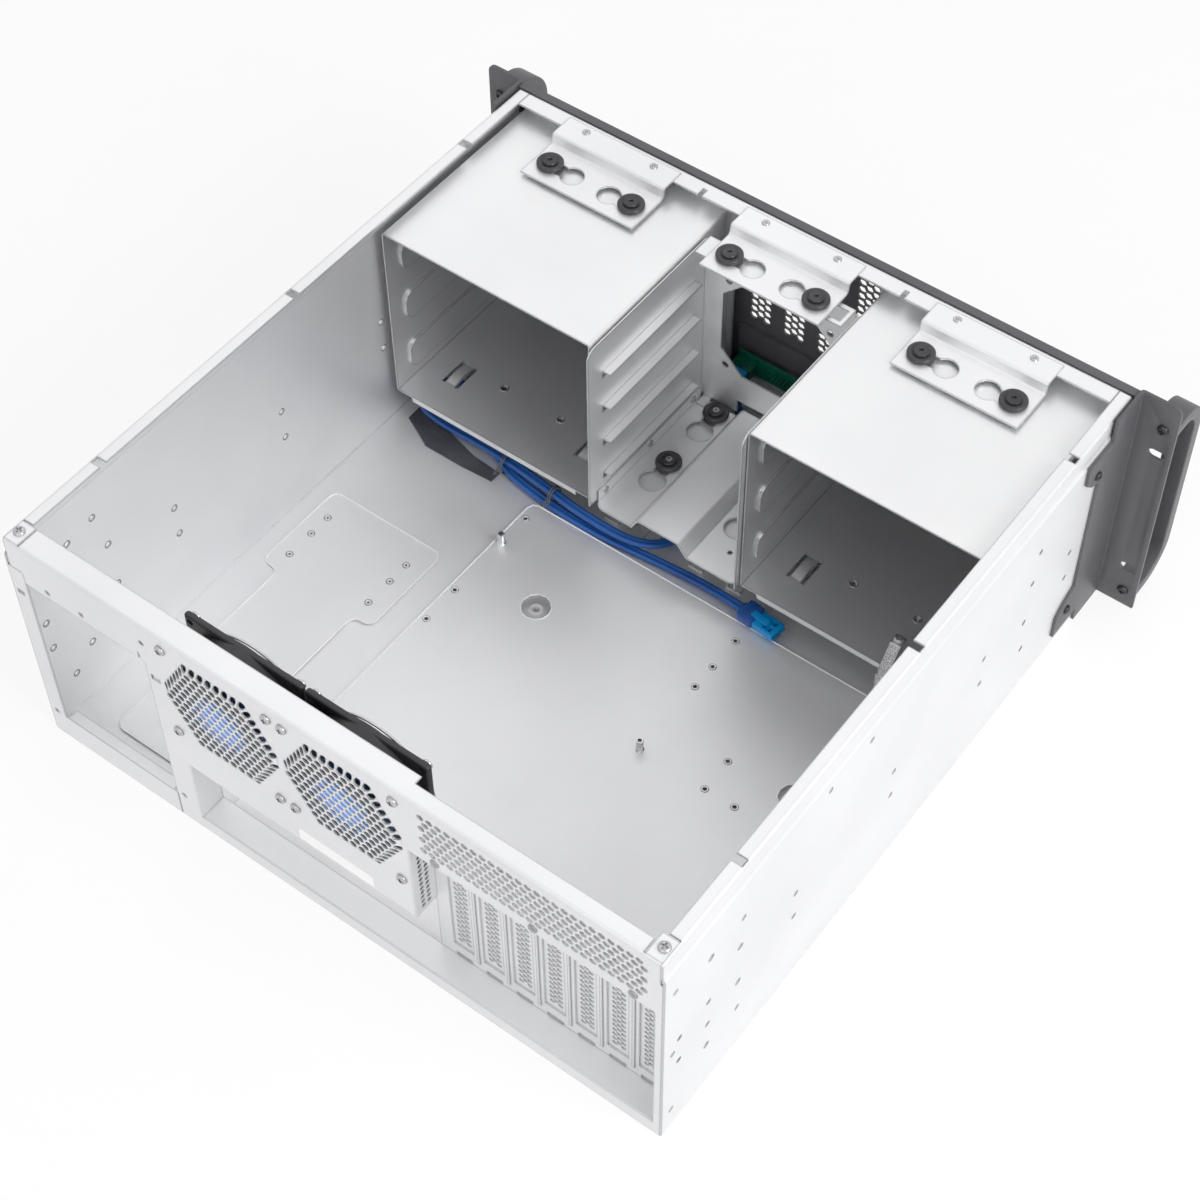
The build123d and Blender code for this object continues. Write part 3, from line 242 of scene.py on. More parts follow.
# %% [markdown]
# ## Finishes
# Every finish is a node material on Object coordinates, so its grain has a real size. The helpers are
# small: a noise, its range, a colour between two tones, and a bump whose Bevel node rounds each cut
# edge for the light without a single new face.

# %% Helpers for finishes
NOISE_RANGE = (0.3, 0.7)
EDGE_SAMPLES = 4


def new_finish(name, colour, metallic, roughness):
    material = bpy.data.materials.new(name)
    material.use_nodes = True
    tree = material.node_tree
    shader = tree.nodes["Principled BSDF"]
    shader.inputs["Base Color"].default_value = (*colour, 1.0)
    shader.inputs["Metallic"].default_value = metallic
    shader.inputs["Roughness"].default_value = roughness
    return material, tree, shader


def noise(tree, scale, detail=3.0):
    where = new_node(tree, "TexCoord")
    texture = new_node(tree, "TexNoise")
    texture.inputs["Scale"].default_value = scale
    texture.inputs["Detail"].default_value = detail
    tree.links.new(where.outputs["Object"], texture.inputs["Vector"])
    return texture.outputs["Fac"]


def spread(tree, value, low, high):
    """Turn a noise into a range, such as two roughness values."""
    node = new_node(tree, "MapRange")
    node.inputs["From Min"].default_value, node.inputs["From Max"].default_value = NOISE_RANGE
    node.inputs["To Min"].default_value = low
    node.inputs["To Max"].default_value = high
    tree.links.new(value, node.inputs["Value"])
    return node.outputs["Result"]


def tint(tree, value, dark, light):
    """A colour between two tones. Inputs 6 and 7 of the node are its two colours."""
    node = new_node(tree, "Mix", data_type="RGBA")
    node.inputs[6].default_value = (*dark, 1.0)
    node.inputs[7].default_value = (*light, 1.0)
    tree.links.new(spread(tree, value, 0.0, 1.0), node.inputs[0])
    return node.outputs[2]


def soft_edge(tree, radius):
    bevel = new_node(tree, "Bevel", samples=EDGE_SAMPLES)
    bevel.inputs["Radius"].default_value = radius
    return bevel.outputs["Normal"]


def lift(tree, shader, value, height, edge):
    """Bump by a height in metres; an edge radius rounds the corners for the light."""
    bump = new_node(tree, "Bump")
    bump.inputs["Strength"].default_value = 1.0
    bump.inputs["Distance"].default_value = height
    tree.links.new(value, bump.inputs["Height"])
    if edge:
        tree.links.new(soft_edge(tree, edge), bump.inputs["Normal"])
    tree.links.new(bump.outputs["Normal"], shader.inputs["Normal"])


print("helpers for finishes ready")

# %% [markdown]
# Bare zinc-coated sheet is metal with a fine frosted grain: a wide noise moves its tone, a fine one its
# roughness and its surface by hundredths of a millimetre. At folds and pressed lines the colour is
# darkened as painted shade. Such a place is found by comparing the face's own direction with that of a
# rounded edge: where they differ, there is a fold.

# %% Bare sheet steel
STEEL_CLOUD = (9.0, 4.0)
STEEL_GRAIN = (1400.0, 2.0)
STEEL_GRAIN_HEIGHT = 0.00003
CREASE_R = 0.0013
CREASE_SHADE_SHARE = 0.85
CREASE_SHADE_TONE = 0.42
CREASE_TURN = 0.93


def crease_shade(tree, colour, dark):
    """The colour, darkened with painted shade where the sheet is folded or pressed."""
    flat = new_node(tree, "NewGeometry")
    along = new_node(tree, "VectorMath", operation="DOT_PRODUCT")
    fold = new_node(tree, "MapRange")
    fold.inputs["From Min"].default_value = 1.0
    fold.inputs["From Max"].default_value = CREASE_TURN
    fold.inputs["To Max"].default_value = CREASE_SHADE_SHARE
    # Painted shade: at folds and pressed lines the colour is mixed towards a darker tone
    fold_shade = new_node(tree, "Mix", data_type="RGBA")
    fold_shade.inputs[7].default_value = (*[value * CREASE_SHADE_TONE for value in dark], 1.0)
    tree.links.new(soft_edge(tree, CREASE_R), along.inputs[0])
    tree.links.new(flat.outputs["True Normal"], along.inputs[1])
    tree.links.new(along.outputs["Value"], fold.inputs["Value"])
    tree.links.new(fold.outputs["Result"], fold_shade.inputs[0])
    tree.links.new(colour, fold_shade.inputs[6])
    return fold_shade.outputs[2]


def sheet_steel(name, dark, light, rough_low, rough_high, edge=0.0003, shine=0.62):
    material, tree, shader = new_finish(name, light, shine, rough_low)
    colour = tint(tree, noise(tree, *STEEL_CLOUD), dark, light)
    tree.links.new(crease_shade(tree, colour, dark), shader.inputs["Base Color"])
    grain = noise(tree, *STEEL_GRAIN)
    tree.links.new(spread(tree, grain, rough_low, rough_high), shader.inputs["Roughness"])
    lift(tree, shader, grain, STEEL_GRAIN_HEIGHT, edge)
    return material


steel = sheet_steel("bare_steel", (0.76, 0.763, 0.775), (0.82, 0.823, 0.833), 0.38, 0.52)
cage_steel = sheet_steel("cage_steel", (0.74, 0.743, 0.752), (0.80, 0.803, 0.81), 0.38, 0.50, shine=0.82)
# A darker copy of the steel for the sides of pressed steps: painted shade
painted_step_shade = sheet_steel("painted_step_shade", (0.50, 0.50, 0.51), (0.60, 0.60, 0.61), 0.40, 0.54)
screw_steel = sheet_steel("screw_steel", (0.52, 0.52, 0.54), (0.64, 0.64, 0.66), 0.22, 0.32, edge=0.0002)
print("four steels")

# %% [markdown]
# Powder-coated charcoal has a fine orange peel; moulded plastics have a softer, coarser one.
# Rubber is nearly black and takes no clear reflection. Each line gives two tones, the roughness, how
# fine the grain is and how high it stands.

# %% Paints, plastics and rubber
COAT_CLOUD = 25.0
COAT_ROUGHER = (-0.05, 0.08)


def coated(name, dark, light, roughness, grain_scale, height=0.00001, metallic=0.0, edge=0.0003):
    material, tree, shader = new_finish(name, light, metallic, roughness)
    tree.links.new(tint(tree, noise(tree, COAT_CLOUD), dark, light), shader.inputs["Base Color"])
    grain = noise(tree, grain_scale)
    low, high = [roughness + more for more in COAT_ROUGHER]
    tree.links.new(spread(tree, grain, low, high), shader.inputs["Roughness"])
    lift(tree, shader, grain, height, edge)
    return material


charcoal = coated("charcoal_paint", (0.085, 0.085, 0.093), (0.105, 0.104, 0.112), 0.42, 1800.0, 0.00004)
charcoal_plastic = coated(
    "charcoal_plastic", (0.075, 0.075, 0.082), (0.09, 0.09, 0.097), 0.5, 1200.0, 0.00003)
black_plastic = coated("black_plastic", (0.022, 0.022, 0.025), (0.034, 0.034, 0.037), 0.42, 900.0, 0.00003)
rotor_plastic = coated("rotor_plastic", (0.02, 0.05, 0.13), (0.03, 0.08, 0.20), 0.25, 600.0)
black_rubber = coated("black_rubber", (0.030, 0.030, 0.033), (0.048, 0.048, 0.053), 0.34, 1500.0, 0.00003)
black_screw = coated("black_screw", (0.04, 0.04, 0.044), (0.07, 0.07, 0.076), 0.26, 2000.0, metallic=0.6)
blue_cable = coated("blue_cable", (0.012, 0.075, 0.30), (0.020, 0.12, 0.42), 0.38, 500.0, 0.00002)
blue_plug = coated("blue_plug", (0.0, 0.26, 0.62), (0.0, 0.33, 0.78), 0.32, 500.0)
green_board = coated("green_board", (0.0, 0.085, 0.05), (0.0, 0.13, 0.075), 0.28, 700.0)
grey_tie = coated("grey_tie", (0.10, 0.10, 0.11), (0.17, 0.17, 0.18), 0.5, 900.0)
dark_ribbon = coated("dark_ribbon", (0.030, 0.032, 0.045), (0.085, 0.085, 0.105), 0.32, 700.0, 0.00002)
plated = coated("plated", (0.58, 0.58, 0.60), (0.70, 0.70, 0.72), 0.2, 900.0, metallic=1.0)
lamp_lens = coated("lamp_lens", (0.62, 0.66, 0.68), (0.72, 0.76, 0.78), 0.12, 300.0)
white_label = coated("white_label", (0.80, 0.80, 0.80), (0.84, 0.84, 0.84), 0.55, 1500.0)
fan_label = coated("fan_label", (0.08, 0.34, 0.86), (0.66, 0.58, 0.92), 0.3, 900.0)
# A near-white finish for the rims of pressed steps: a painted highlight
painted_rim_highlight = coated(
    "painted_rim_highlight", (0.90, 0.90, 0.91), (0.96, 0.96, 0.97), 0.32, 900.0, metallic=0.25, edge=0.0)
print("paints, plastics and rubber")

# %% [markdown]
# On the real object the hub labels glint through the grilles, and the bare strip is whiter than the
# zinc round it. A weak painted glow of their own gives both, a painted glint and a painted brightness,
# without another lamp.

# %% Painted glow of the labels
PAINTED_GLOWS = ((fan_label, (0.10, 0.42, 1.0), 0.6), (white_label, (1.0, 1.0, 1.0), 0.15))
# Painted glow: each label gives off light of its own, though it is no lamp
for material, colour, glow in PAINTED_GLOWS:
    shader = material.node_tree.nodes["Principled BSDF"]
    shader.inputs["Emission Color"].default_value = (*colour, 1.0)
    shader.inputs["Emission Strength"].default_value = glow
print(len(PAINTED_GLOWS), "labels glow")

# %% [markdown]
# The floor of a cut-out product photo is burnt out to white, with only a trace of shadow. Most of what
# a camera or mirror ray sees of it is an even white, and the rest is the lit floor with its shadow.

# %% Floor finish
FLOOR_WHITE = 0.8
UNDER_CASE = (("X", 0.0, 0.208), ("Y", 0.0175, 0.2125))
pale_floor = coated("pale_floor", (0.93, 0.93, 0.93), (0.95, 0.95, 0.95), 0.7, 60.0, edge=0.0)
tree = pale_floor.node_tree
even = new_node(tree, "Emission")
blend = new_node(tree, "MixShader")
# Under the case the floor stays as dark as its shadow, which the small holes in the tray show
where = new_node(tree, "TexCoord")
parts = new_node(tree, "SeparateXYZ")
tree.links.new(where.outputs["Object"], parts.inputs[0])
outside = []
for axis, middle, half in UNDER_CASE:
    away = worked_out(tree, "ABSOLUTE", worked_out(tree, "SUBTRACT", parts.outputs[axis], middle))
    outside.append(worked_out(tree, "GREATER_THAN", away, half))
clear = worked_out(tree, "MAXIMUM", *outside)
share = worked_out(tree, "MULTIPLY", worked_out(tree, "MULTIPLY", looked_at(tree), FLOOR_WHITE), clear)
tree.links.new(share, blend.inputs["Fac"])
tree.links.new(tree.nodes["Principled BSDF"].outputs["BSDF"], blend.inputs[1])
tree.links.new(even.outputs["Emission"], blend.inputs[2])
tree.links.new(blend.outputs["Shader"], tree.nodes["Material Output"].inputs["Surface"])
floor.data.materials.append(pale_floor)
print("floor finished")

# %% [markdown]
# The record names a material slot for each CAD node. Every node gets the finish of its slot, and the
# pieces that are made below take theirs from the same table.

# %% Finishes on the CAD nodes
FINISH = {
    "bare_steel": steel, "cage_steel": cage_steel, "charcoal_paint": charcoal,
    "charcoal_plastic": charcoal_plastic, "black_plastic": black_plastic,
    "rotor_plastic": rotor_plastic, "guard_wire": plated, "black_rubber": black_rubber,
    "screw_steel": screw_steel, "black_screw": black_screw, "standoff_metal": plated,
    "blue_cable": blue_cable, "blue_plug": blue_plug, "green_board": green_board,
    "socket_shell": plated, "grey_tie": grey_tie, "dark_ribbon": dark_ribbon, "lamp_lens": lamp_lens,
}
for entry in frame["record"]["subparts"]:
    node = nodes[entry["node"]]
    node.data.materials.clear()
    node.data.materials.append(FINISH[entry["material_slot"]])
print("finishes on", len(nodes), "nodes")

# %% [markdown]
# ## Workshop
# The same few moves are used on every piece: choose it alone, write its place into its mesh, join
# copies, apply a modifier. `cad_copy` takes a sheet from the CAD and welds its corners, because a
# Boolean only works on a closed skin.

# %% Choose, settle, join, copy
def choose(*pieces):
    bpy.ops.object.select_all(action="DESELECT")
    for piece in pieces:
        piece.select_set(True)
    bpy.context.view_layer.objects.active = pieces[0]


def settle(piece, name=None):
    """Write place, turn and size into the mesh, so that the object sits at the origin."""
    choose(piece)
    bpy.ops.object.transform_apply(location=True, rotation=True, scale=True)
    if name:
        piece.name = name
    return piece


def joined(name, pieces):
    choose(*pieces)
    if len(pieces) > 1:
        bpy.ops.object.join()
    pieces[0].name = name
    return pieces[0]


def copies(piece, turns):
    """One copy with its own mesh for each matrix, without the first piece itself."""
    made = []
    for turn in turns:
        twin = piece.copy()
        twin.data = piece.data.copy()
        twin.data.transform(turn)
        bpy.context.scene.collection.objects.link(twin)
        made.append(twin)
    return made


def spread_out(name, piece, turns):
    """Copies at all the given places, joined to one piece; the pattern piece is used up."""
    made = copies(piece, turns)
    bpy.data.objects.remove(piece, do_unlink=True)
    return joined(name, made)


def use_modifier(piece, kind, **settings):
    modifier = piece.modifiers.new(kind.lower(), kind)
    for key, value in settings.items():
        setattr(modifier, key, value)
    choose(piece)
    bpy.ops.object.modifier_apply(modifier=modifier.name)
    return piece


def smooth(piece, angle=32):
    choose(piece)
    bpy.ops.object.shade_smooth_by_angle(angle=math.radians(angle))
    return piece


def ready(piece, finish, *replaced, slot=None, body="case"):
    """Give the finish, the body it rides on and the CAD nodes that it stands for."""
    piece.data.materials.clear()
    piece.data.materials.append(FINISH[finish] if isinstance(finish, str) else finish)
    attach(piece, body)
    if replaced:
        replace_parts(piece, *replaced)
    return piece


print("workshop ready")

# %% [markdown]
# A coarse hole in a copied sheet is healed before the fine ones are punched: the faces inside it are
# picked by their place and deleted, and the two rims that stay are filled. A sheet is only closed when
# each edge has two faces, so the open edges can be counted afterwards.

# %% Copy a sheet, pick its faces, heal its coarse holes
MERGE = 0.000005
FLAT_ANGLE = 0.3


def cad_copy(node, name, whole_faces=False):
    """The CAD mesh with its corners merged; whole_faces also merges its triangles, for bevels."""
    piece = bpy.data.objects.new(name, nodes[node].data.copy())
    bpy.context.scene.collection.objects.link(piece)
    choose(piece)
    bpy.ops.object.mode_set(mode="EDIT")
    bpy.ops.mesh.select_all(action="SELECT")
    bpy.ops.mesh.customdata_custom_splitnormals_clear()
    bpy.ops.mesh.remove_doubles(threshold=MERGE)
    if whole_faces:
        bpy.ops.mesh.dissolve_limited(angle_limit=math.radians(FLAT_ANGLE))
    bpy.ops.object.mode_set(mode="OBJECT")
    return piece


def pick(piece, wanted):
    """In edit mode, select the faces whose centre and normal are wanted."""
    choose(piece)
    bpy.ops.object.mode_set(mode="EDIT")
    bpy.ops.mesh.select_mode(type="FACE")
    bpy.ops.mesh.select_all(action="DESELECT")
    bpy.ops.object.mode_set(mode="OBJECT")
    for face in piece.data.polygons:
        face.select = bool(wanted(face.center / MM, face.normal))
    bpy.ops.object.mode_set(mode="EDIT")


def heal(piece, wall_of_hole):
    """Delete the walls of coarse holes and close both ends, which leaves a plain sheet."""
    pick(piece, wall_of_hole)
    bpy.ops.mesh.delete(type="FACE")
    bpy.ops.mesh.select_mode(type="EDGE")
    bpy.ops.mesh.select_non_manifold(extend=False, use_wire=False, use_boundary=True,
                                     use_multi_face=False, use_non_contiguous=False, use_verts=False)
    bpy.ops.mesh.fill_holes(sides=0)
    bpy.ops.mesh.select_all(action="SELECT")
    bpy.ops.mesh.normals_make_consistent(inside=False)
    bpy.ops.object.mode_set(mode="OBJECT")
    return piece


def open_edges(piece):
    """Count the edges that don't have a face on both sides: a closed sheet has none."""
    uses = Counter(key for face in piece.data.polygons for key in face.edge_keys)
    return sum(count != 2 for count in uses.values())


def depth_of(centre):
    """Depth in millimetres of a point that is given in millimetres in Blender's frame."""
    return REAR / MM - centre.y


print("sheets are copied and healed")

# %% [markdown]
# A perforated sheet is punched: one pin is a cylinder with the right number of sides, the field is
# copies of it, and one Boolean takes them all out at once.

# %% Pins and the punch
PIN_TURN = {"x": (0.0, math.pi / 2, 0.0), "y": (math.pi / 2, 0.0, 0.0), "z": (0.0, 0.0, 0.0)}


def pins(points, axis, radius, length, sides=12, spin=0.0):
    bpy.ops.object.select_all(action="DESELECT")
    turn = list(PIN_TURN[axis])
    if axis == "y":
        turn[1] = spin
    bpy.ops.mesh.primitive_cylinder_add(vertices=sides, radius=radius * MM, depth=length * MM, rotation=turn)
    pin = settle(bpy.context.object)
    return spread_out("pins", pin, [Matrix.Translation(point) for point in points])


def punch(piece, tool, operation="DIFFERENCE"):
    """Cut the tool out of the piece, or weld it on with UNION; the tool is used up."""
    use_modifier(piece, "BOOLEAN", operation=operation, object=tool, solver="MANIFOLD")
    bpy.data.objects.remove(tool, do_unlink=True)
    return piece


def keyhole_pins(places, big_r, neck_r, length):
    """A wide hole and a round slot end joined by a neck; each place is (wide end, slot end)."""
    wide = pins([one for one, two in places], "z", big_r, length, 40)
    ends = pins([two for one, two in places], "z", neck_r, length, 24)
    necks = []
    for one, two in places:
        bpy.ops.object.select_all(action="DESELECT")
        bpy.ops.mesh.primitive_cube_add(size=1.0, location=(one + two) / 2)
        neck = bpy.context.object
        run = two - one
        across_x = abs(run.x) > abs(run.y)
        size = (run.length, 2 * neck_r * MM) if across_x else (2 * neck_r * MM, run.length)
        neck.scale = (*size, length * MM)
        necks.append(settle(neck))
    return wide, ends, joined("necks", necks)


print("pins ready")

# %% [markdown]
# A turned piece, such as a screw head, a grommet or a hub, starts as a filled circle. Each step
# extrudes it upwards and scales it to the next radius, as a lathe tool follows a profile.

# %% Lathe
def turned(name, steps, sides=32):
    """Steps are (radius, height) in millimetres, from the start of the profile to its end."""
    bpy.ops.object.select_all(action="DESELECT")
    radius, height = steps[0]
    bpy.ops.mesh.primitive_circle_add(vertices=sides, radius=radius * MM, fill_type="NGON",
                                      location=(0.0, 0.0, height * MM))
    piece = settle(bpy.context.object, name)
    bpy.ops.object.mode_set(mode="EDIT")
    bpy.ops.mesh.select_all(action="SELECT")
    for (r0, z0), (r1, z1) in zip(steps, steps[1:]):
        bpy.ops.mesh.extrude_region_move(TRANSFORM_OT_translate={"value": (0.0, 0.0, (z1 - z0) * MM)})
        bpy.ops.transform.resize(value=(r1 / r0, r1 / r0, 1.0), center_override=(0.0, 0.0, z1 * MM))
    bpy.ops.mesh.select_all(action="SELECT")
    bpy.ops.mesh.normals_make_consistent(inside=False)
    bpy.ops.object.mode_set(mode="OBJECT")
    return smooth(piece, 38)


def bar(name, low, high, edge=0.0, segments=2):
    """A block between two corners in millimetres (x, depth, z), its edges rounded."""
    bpy.ops.object.select_all(action="DESELECT")
    one, two = at(*low), at(*high)
    bpy.ops.mesh.primitive_cube_add(size=1.0, location=(one + two) / 2)
    piece = bpy.context.object
    piece.scale = [abs(b - a) for a, b in zip(one, two)]
    settle(piece, name)
    if edge:
        use_modifier(piece, "BEVEL", width=edge * MM, segments=segments)
        smooth(piece, 40)
    return piece


def solids_of(node):
    """Lowest and highest corner of each separate solid of a CAD node."""
    probe = cad_copy(node, "probe")
    choose(probe)
    bpy.ops.object.mode_set(mode="EDIT")
    bpy.ops.mesh.select_all(action="SELECT")
    bpy.ops.mesh.separate(type="LOOSE")
    bpy.ops.object.mode_set(mode="OBJECT")
    boxes = []
    for part in list(bpy.context.selected_objects):
        corners = [vertex.co for vertex in part.data.vertices]
        low = Vector([min(corner[axis] for corner in corners) for axis in range(3)])
        high = Vector([max(corner[axis] for corner in corners) for axis in range(3)])
        boxes.append((low, high))
        bpy.data.objects.remove(part, do_unlink=True)
    return boxes


print("lathe ready")

# %% [markdown]
# ## Rear panel
# The real panel is pressed and punched in one go: two raised grilles with small round holes on a
# staggered pattern, and a field of vents. The CAD has the raised grilles with a few coarse holes.
# Those are healed, and the real pattern is punched: row by row, each row half a pitch aside.

# %% Punch the grilles, the vents and the web
FAN_X = (66.5, -15.3)
FAN_Z = 129.0
GRILLE_HALF = (33.0, 32.5)
GRILLE_ROWS = 7
GRILLE_PITCH = (5.6, 4.85)
GRILLE_HOLE_R = 2.15
GRILLE_REACH = 38.0
VENT_X = (-206, -64)
VENT_Z = (131, 170)
VENT_FIRST = (-68.4, 136.4)
VENT_PITCH = (5.48, 4.93)
VENT_FIELD = (25, 7)
VENT_HOLE_R = 1.95
WEB_X = -57.4
WEB_HOLE_R = 1.3
WEB_DEPTHS = (6.0, 10.5)
WEB_ROWS = 14
WEB_FIRST_Z = 66.0
WEB_PITCH = 4.2
UPRIGHT = 0.2
PANEL_SKIN = 1.3
THROUGH_PANEL = 12.0

rear_panel = cad_copy("rear_panel", "rear_panel_punched")


def coarse_rear_hole(centre, normal):
    across = abs(normal.y) < UPRIGHT
    in_height = abs(centre.z - FAN_Z) < GRILLE_HALF[1]
    in_grille = in_height and any(abs(centre.x - x) < GRILLE_HALF[0] for x in FAN_X)
    in_vents = VENT_X[0] < centre.x < VENT_X[1] and VENT_Z[0] < centre.z < VENT_Z[1]
    return across and depth_of(centre) < PANEL_SKIN and (in_grille or in_vents)


heal(rear_panel, coarse_rear_hole)
print("healed rear panel:", len(rear_panel.data.polygons), "faces")

grille_points = []
for x in FAN_X:
    for row in range(-GRILLE_ROWS, GRILLE_ROWS + 1):
        count = 2 * GRILLE_ROWS + 1 - abs(row)
        for number in range(count):
            u = (number - (count - 1) / 2) * GRILLE_PITCH[0]
            if abs(u) < GRILLE_REACH:
                grille_points.append(at(x + u, 0.0, FAN_Z + row * GRILLE_PITCH[1]))
vent_points = []
for row in range(VENT_FIELD[1]):
    for column in range(VENT_FIELD[0]):
        u = VENT_FIRST[0] - column * VENT_PITCH[0] - (row % 2) * VENT_PITCH[0] / 2
        vent_points.append(at(u, 0.0, VENT_FIRST[1] + row * VENT_PITCH[1]))
web_points = [at(WEB_X, depth, WEB_FIRST_Z + row * WEB_PITCH)
              for row in range(WEB_ROWS) for depth in WEB_DEPTHS]
punch(rear_panel, pins(grille_points, "y", GRILLE_HOLE_R, THROUGH_PANEL))
punch(rear_panel, pins(vent_points, "y", VENT_HOLE_R, THROUGH_PANEL))
punch(rear_panel, pins(web_points, "x", WEB_HOLE_R, 4.0, 10))
smooth(rear_panel, 25)
ready(rear_panel, "bare_steel", "rear_panel")
print("rear panel with", len(grille_points), "grille holes and", len(vent_points), "vents:",
      len(rear_panel.data.polygons), "faces, open edges", open_edges(rear_panel))

# %% [markdown]
# The slot covers are punched with three columns of round holes, the middle one half a pitch up.
# One cover is made and punched, and its six copies are moved along by the slot pitch.

# %% Slot covers
SLOT_X = -73.05
SLOT_PITCH = 20.32
COVERS = 7
COVER_DEPTH = 18.5
COVER_ROWS = 20
COVER_FIRST_Z = 26.0
COVER_PITCH = 4.7
COVER_COLUMNS = (-2.75, 0.0, 2.75)
COVER_HOLE_R = 1.45
cover = cad_copy("slot_cover_1", "slot_cover_punched_1")
cover_points = []
for column, dx in enumerate(COVER_COLUMNS):
    for row in range(COVER_ROWS):
        z = COVER_FIRST_Z + row * COVER_PITCH + (COVER_PITCH / 2 if column == 1 else 0.0)
        cover_points.append(at(SLOT_X + dx, COVER_DEPTH, z))
punch(cover, pins(cover_points, "y", COVER_HOLE_R, 6.0, 10))
smooth(cover, 25)
ready(cover, "bare_steel", "slot_cover_1")
for number in range(2, COVERS + 1):
    move = Matrix.Translation((-(number - 1) * SLOT_PITCH * MM, 0.0, 0.0))
    twin = copies(cover, [move])[0]
    twin.name = f"slot_cover_punched_{number}"
    del twin["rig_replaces"]
    ready(twin, "bare_steel", f"slot_cover_{number}")
print(COVERS, "slot covers,", len(cover.data.polygons), "faces each, open edges", open_edges(cover))

# %% [markdown]
# ## Front panel
# Four groups of flat-top hexagons, three columns wide, let air in above the buttons.

# %% Punch the front panel
HEX_GROUPS = (33.1, 8.6, -16.0, -40.6)
HEX_R = 2.75
HEX_PITCH = (4.78, 5.52)
HEX_ROWS = 14
HEX_FIRST_Z = 80.5
HEX_X = (-50, 42)
HEX_Z = (77, 160)
FRONT_SKIN = 444.6
FRONT_SKIN_BACK = 443.9
front_panel = cad_copy("front_panel", "front_panel_punched")


def coarse_front_hole(centre, normal):
    across = abs(normal.y) < UPRIGHT
    in_field = HEX_X[0] < centre.x < HEX_X[1] and HEX_Z[0] < centre.z < HEX_Z[1]
    return across and in_field and depth_of(centre) > FRONT_SKIN_BACK


heal(front_panel, coarse_front_hole)
hex_points = []
for middle in HEX_GROUPS:
    for column in (-1, 0, 1):
        for row in range(HEX_ROWS):
            z = HEX_FIRST_Z + row * HEX_PITCH[1] + (HEX_PITCH[1] / 2 if column == 0 else 0.0)
            hex_points.append(at(middle + column * HEX_PITCH[0], FRONT_SKIN, z))
punch(front_panel, pins(hex_points, "y", HEX_R, 6.0, 6, math.radians(30)))
ready(front_panel, "charcoal_paint", "front_panel")
print("open edges", open_edges(front_panel), "in the front panel with", len(hex_points), "hexagons")

# %% [markdown]
# ## Chassis tray
# The walls of the real tray have rows of small screw holes, most with a pressed collar. The tray is
# copied, the holes are punched round, and small turned rings stand for the collars.

# %% Wall and floor holes
WALL_HOLE_R = 1.8
BRACKET_HOLE_R = 2.2
BOARD_HOLE_R = 1.7
FOOT_HOLE_R = 1.3
THROUGH_SHEET = 8.0
NEAR_WALL = (
    (13.4, 64.1), (13.4, 86.9), (38.0, 64.1), (38.0, 86.9), (115.0, 64.1), (115.0, 86.9),
    (207.5, 64.1), (207.5, 86.9), (298.8, 64.1), (298.8, 86.9), (391.5, 64.1), (391.5, 86.9),
    (8.75, 139.4), (7.8, 78.4), (7.8, 19.0), (66.0, 130.0), (65.0, 41.3), (349.0, 130.0),
    (346.0, 105.0), (345.0, 70.6), (348.0, 43.0), (140.0, 151.3), (177.5, 151.3),
)
FAR_WALL = (
    (11.9, 64.4), (11.9, 86.9), (114.7, 64.4), (114.7, 86.9), (207.0, 64.4), (207.0, 86.9),
    (298.0, 64.4), (298.0, 86.9), (58.4, 133.0), (21.9, 29.4),
)
BOARD_HOLES = (
    (92.0, 280.8), (-65.4, 280.8), (-65.4, 257.3), (-65.4, 239.6), (92.0, 211.9),
    (92.0, 185.0), (-110.8, 208.0), (-111.0, 185.0), (-131.5, 185.0),
)
STANDOFFS = ((92.0, 257.3), (-65.4, 185.0))
FOOT_HOLES = [(x, depth) for x in (128.0, 190.4) for depth in (174.2, 194.2, 209.6)]
BRACKET_HOLES = ((38.4, 130.0), (64.4, 104.0), (64.4, 69.0), (37.8, 42.2))
DISHES = ((45.0, 230.8), (-155.0, 210.0))
WALL_X = 214.4
WALL_INSIDE = 213.6
WALL_HOLES_Z = (38, 134)
FLOOR_TOP = 1.2
FLOOR_MIDDLE = 2.0
BOARD_TOP = 3.2
FOOT_TOP = 2.4
tray = cad_copy("chassis_tray", "chassis_tray_punched")


def coarse_tray_hole(centre, normal):
    depth = depth_of(centre)
    in_wall = abs(normal.x) < 0.3 and abs(centre.x) > WALL_INSIDE
    in_wall = in_wall and WALL_HOLES_Z[0] < centre.z < WALL_HOLES_Z[1]
    by_bracket = any(abs(depth - d) < 3 and abs(centre.z - z) < 3 for d, z in BRACKET_HOLES)
    in_floor = abs(normal.z) < 0.3 and centre.z < BOARD_TOP + 0.1
    by_board = any(abs(centre.x - x) < 2 and abs(depth - d) < 2 for x, d in BOARD_HOLES)
    return (in_wall and by_bracket) or (in_floor and by_board)


